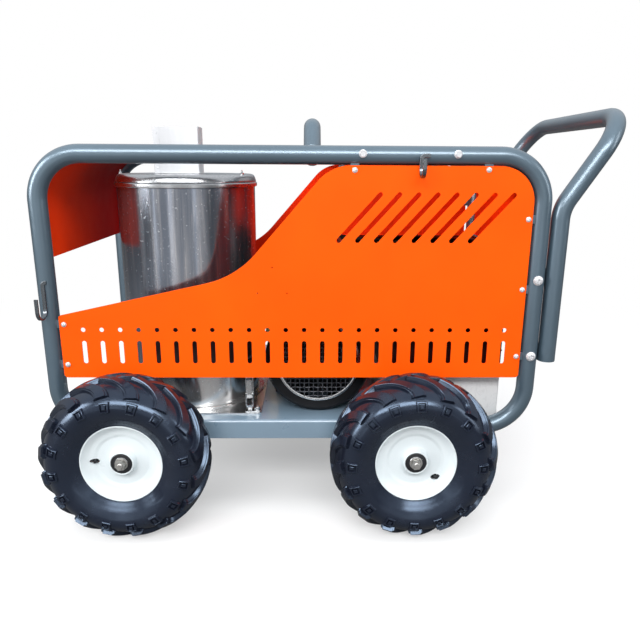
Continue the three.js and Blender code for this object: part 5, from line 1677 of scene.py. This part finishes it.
# A bent pipe with a union nut pushed up to each end.
def pipeRun(radius, corners):
    path = bentPath(corners, stepDegrees=6.0)
    run = sweep(path, circle(radius, 28), np.array([0.3, 0.2, 1.0]))
    nuts = []
    for end, after in ((path[0], path[1]), (path[-1], path[-2])):
        inward = (after - end) / np.linalg.norm(after - end)
        nutProfile = [(radius - 0.5, 0.4), (radius + 5, 0.4), (radius + 6, 1.4), (radius + 6, 12),
                      (radius + 5, 13), (radius - 0.5, 13)]
        sleeveProfile = [(radius - 0.5, 12), (radius + 3, 12), (radius + 2.4, 17), (radius - 0.5, 17.6)]
        nut, sleeve = lathe(nutProfile, 6, closed=True), lathe(sleeveProfile, 32, closed=True)
        nuts.append((nut + sleeve).standing(end, inward))
    return run + joined(nuts)


for name, (radius, corners) in plumbing["pipes"].items():
    stand(name, pipeRun(radius, corners), crease=35)
print("pipes made")

# Camera, light and floor

view = {
    "place": (-0.040, -1.5444, 0.7766), "ahead": (0.018207, 0.965758, -0.25881),
    "right": (0.999833, -0.017245, 0.005989), "up": (-0.001321, 0.258881, 0.96591), "lens": 34.13,
    "sensor": 36.0, "shift": (-0.0034, 0.0086),
}


# The camera that was fitted to the photo, by its place and its three directions.
def addCamera():
    data = bpy.data.cameras.new("camera")
    data.sensor_width = view["sensor"]
    data.lens = view["lens"]
    data.shift_x, data.shift_y = view["shift"]
    data.clip_end = 60.0
    camera = linked("camera", data)
    columns = [view["right"], view["up"], tuple(-c for c in view["ahead"])]
    camera.matrix_world = Matrix.Translation(view["place"]) @ Matrix(columns).transposed().to_4x4()
    bpy.context.scene.camera = camera


# A lamp without shine lights the object but isn't mirrored in it.
def softBox(name, place, target, size, power, shine=True):
    data = bpy.data.lights.new(name, "AREA")
    data.shape = "RECTANGLE"
    data.size, data.size_y = size
    data.energy = power
    lamp = linked(name, data)
    lamp.visible_glossy = shine
    lamp.location = place
    lamp.rotation_euler = (Vector(target) - Vector(place)).to_track_quat("-Z", "Y").to_euler()


studio = {
    "skyLow": 0.22, "skyHigh": 0.85, "skyColour": (0.93, 0.965, 1.0), "skyRise": (-0.1, 0.8),
    "floorReach": 40.0, "floorSeen": 0.9, "floorBounce": 0.15, "fadeFrom": 0.0, "fadeTo": 2.6,
    "fadeLeast": 0.35,
    "lamps": {
        "front": ((-0.3, -3.3, 2.75), (0, 0, 0.5), (4.4, 1.0), 142),
        "above": ((0.1, -0.5, 2.9), (0, 0, 0.4), (3.2, 1.5), 44, False),
        "left": ((-3.0, -1.5, 1.5), (0, 0, 0.5), (1.0, 1.6), 50),
        "right": ((3.2, -1.4, 1.5), (0, 0, 0.5), (0.8, 1.8), 15),
        "underHood": ((0.2, -0.08, 0.7), (0.26, 0.28, 0.55), (0.3, 0.08), 0.5),
        "low": ((-0.3, -2.7, 0.45), (0, 0, 0.3), (4.4, 1.0), 5),
        "stripLeft": ((-1.75, -1.55, 0.55), (-0.33, -0.08, 0.5), (0.14, 1.0), 0.7),
        "stripMiddle": ((-0.95, -2.1, 0.55), (-0.33, -0.08, 0.5), (0.24, 1.0), 0.7),
        "stripRight": ((0.45, -2.1, 0.5), (-0.33, -0.08, 0.5), (0.16, 1.0), 0.5),
    },
}


# The backdrop is white where it is looked at, and a dim sky with a brighter top lights the object.
def addSky():
    world = bpy.data.worlds.new("studio")
    bpy.context.scene.world = world
    world.use_nodes = True
    sky = NodeTree(world.node_tree)
    sky.tree.nodes.clear()
    height = sky.node("ShaderNodeSeparateXYZ", {0: sky.node("ShaderNodeTexCoord", output="Generated")}, "Z")
    strength = height.rise(*studio["skyRise"], studio["skyLow"], studio["skyHigh"])
    glow = sky.node("ShaderNodeBackground", {"Color": (*studio["skyColour"], 1), "Strength": strength})
    backdrop = sky.node("ShaderNodeBackground", {"Color": (1, 1, 1, 1), "Strength": 1.0})
    seen = sky.node("ShaderNodeLightPath", output="Is Camera Ray")
    both = sky.node("ShaderNodeMixShader", {0: seen, 1: glow, 2: backdrop})
    sky.node("ShaderNodeOutputWorld", {"Surface": both}, None)


# A pale floor that fades into the white backdrop and throws only a little light back up.
def addFloor():
    mesh = bpy.data.meshes.new("floor")
    reach = studio["floorReach"]
    corners = [(-reach, -reach, 0), (reach, -reach, 0), (reach, reach, 0), (-reach, reach, 0)]
    mesh.from_pydata(corners, [], [(0, 1, 2, 3)])
    material = bpy.data.materials.new("floor")
    material.use_nodes = True
    ground = NodeTree(material.node_tree)
    ground.tree.nodes.clear()
    place = ground.node("ShaderNodeTexCoord", output="Object")
    distance = ground.node("ShaderNodeVectorMath", {0: place}, "Value", operation="LENGTH")
    fade = distance.rise(studio["fadeFrom"], studio["fadeTo"], studio["fadeLeast"])
    pale = ground.node("ShaderNodeBsdfDiffuse", {"Color": (studio["floorSeen"],) * 3 + (1,)})
    white = ground.node("ShaderNodeEmission", {"Color": (1, 1, 1, 1), "Strength": 1.0})
    looked = ground.node("ShaderNodeMixShader", {0: fade, 1: pale, 2: white})
    bounce = ground.node("ShaderNodeBsdfDiffuse", {"Color": (studio["floorBounce"],) * 3 + (1,)})
    seen = ground.node("ShaderNodeLightPath", output="Is Camera Ray")
    both = ground.node("ShaderNodeMixShader", {0: seen, 1: bounce, 2: looked})
    ground.node("ShaderNodeOutputMaterial", {0: both}, None)
    mesh.materials.append(material)
    floor = linked("floor", mesh)


addCamera()
addSky()
addFloor()
for lampName, lampSettings in studio["lamps"].items():
    softBox(lampName, *lampSettings)
bpy.context.scene.view_settings.view_transform = "Standard"
print("studio made")

# Flat faces keep an even shading up to their rounded edges.

for piece in bpy.context.scene.objects:
    if piece.type == "MESH" and piece.name not in frame["nodes"]:
        evenShading = piece.modifiers.new("evenShading", "WEIGHTED_NORMAL")
        evenShading.keep_sharp = True

# What stays as the CAD has it gets its finish.

for node, part in frame["nodes"].items():
    if not part.hide_render:
        part.data.materials.clear()
        part.data.materials.append(finishes[slotOfNode[node]])
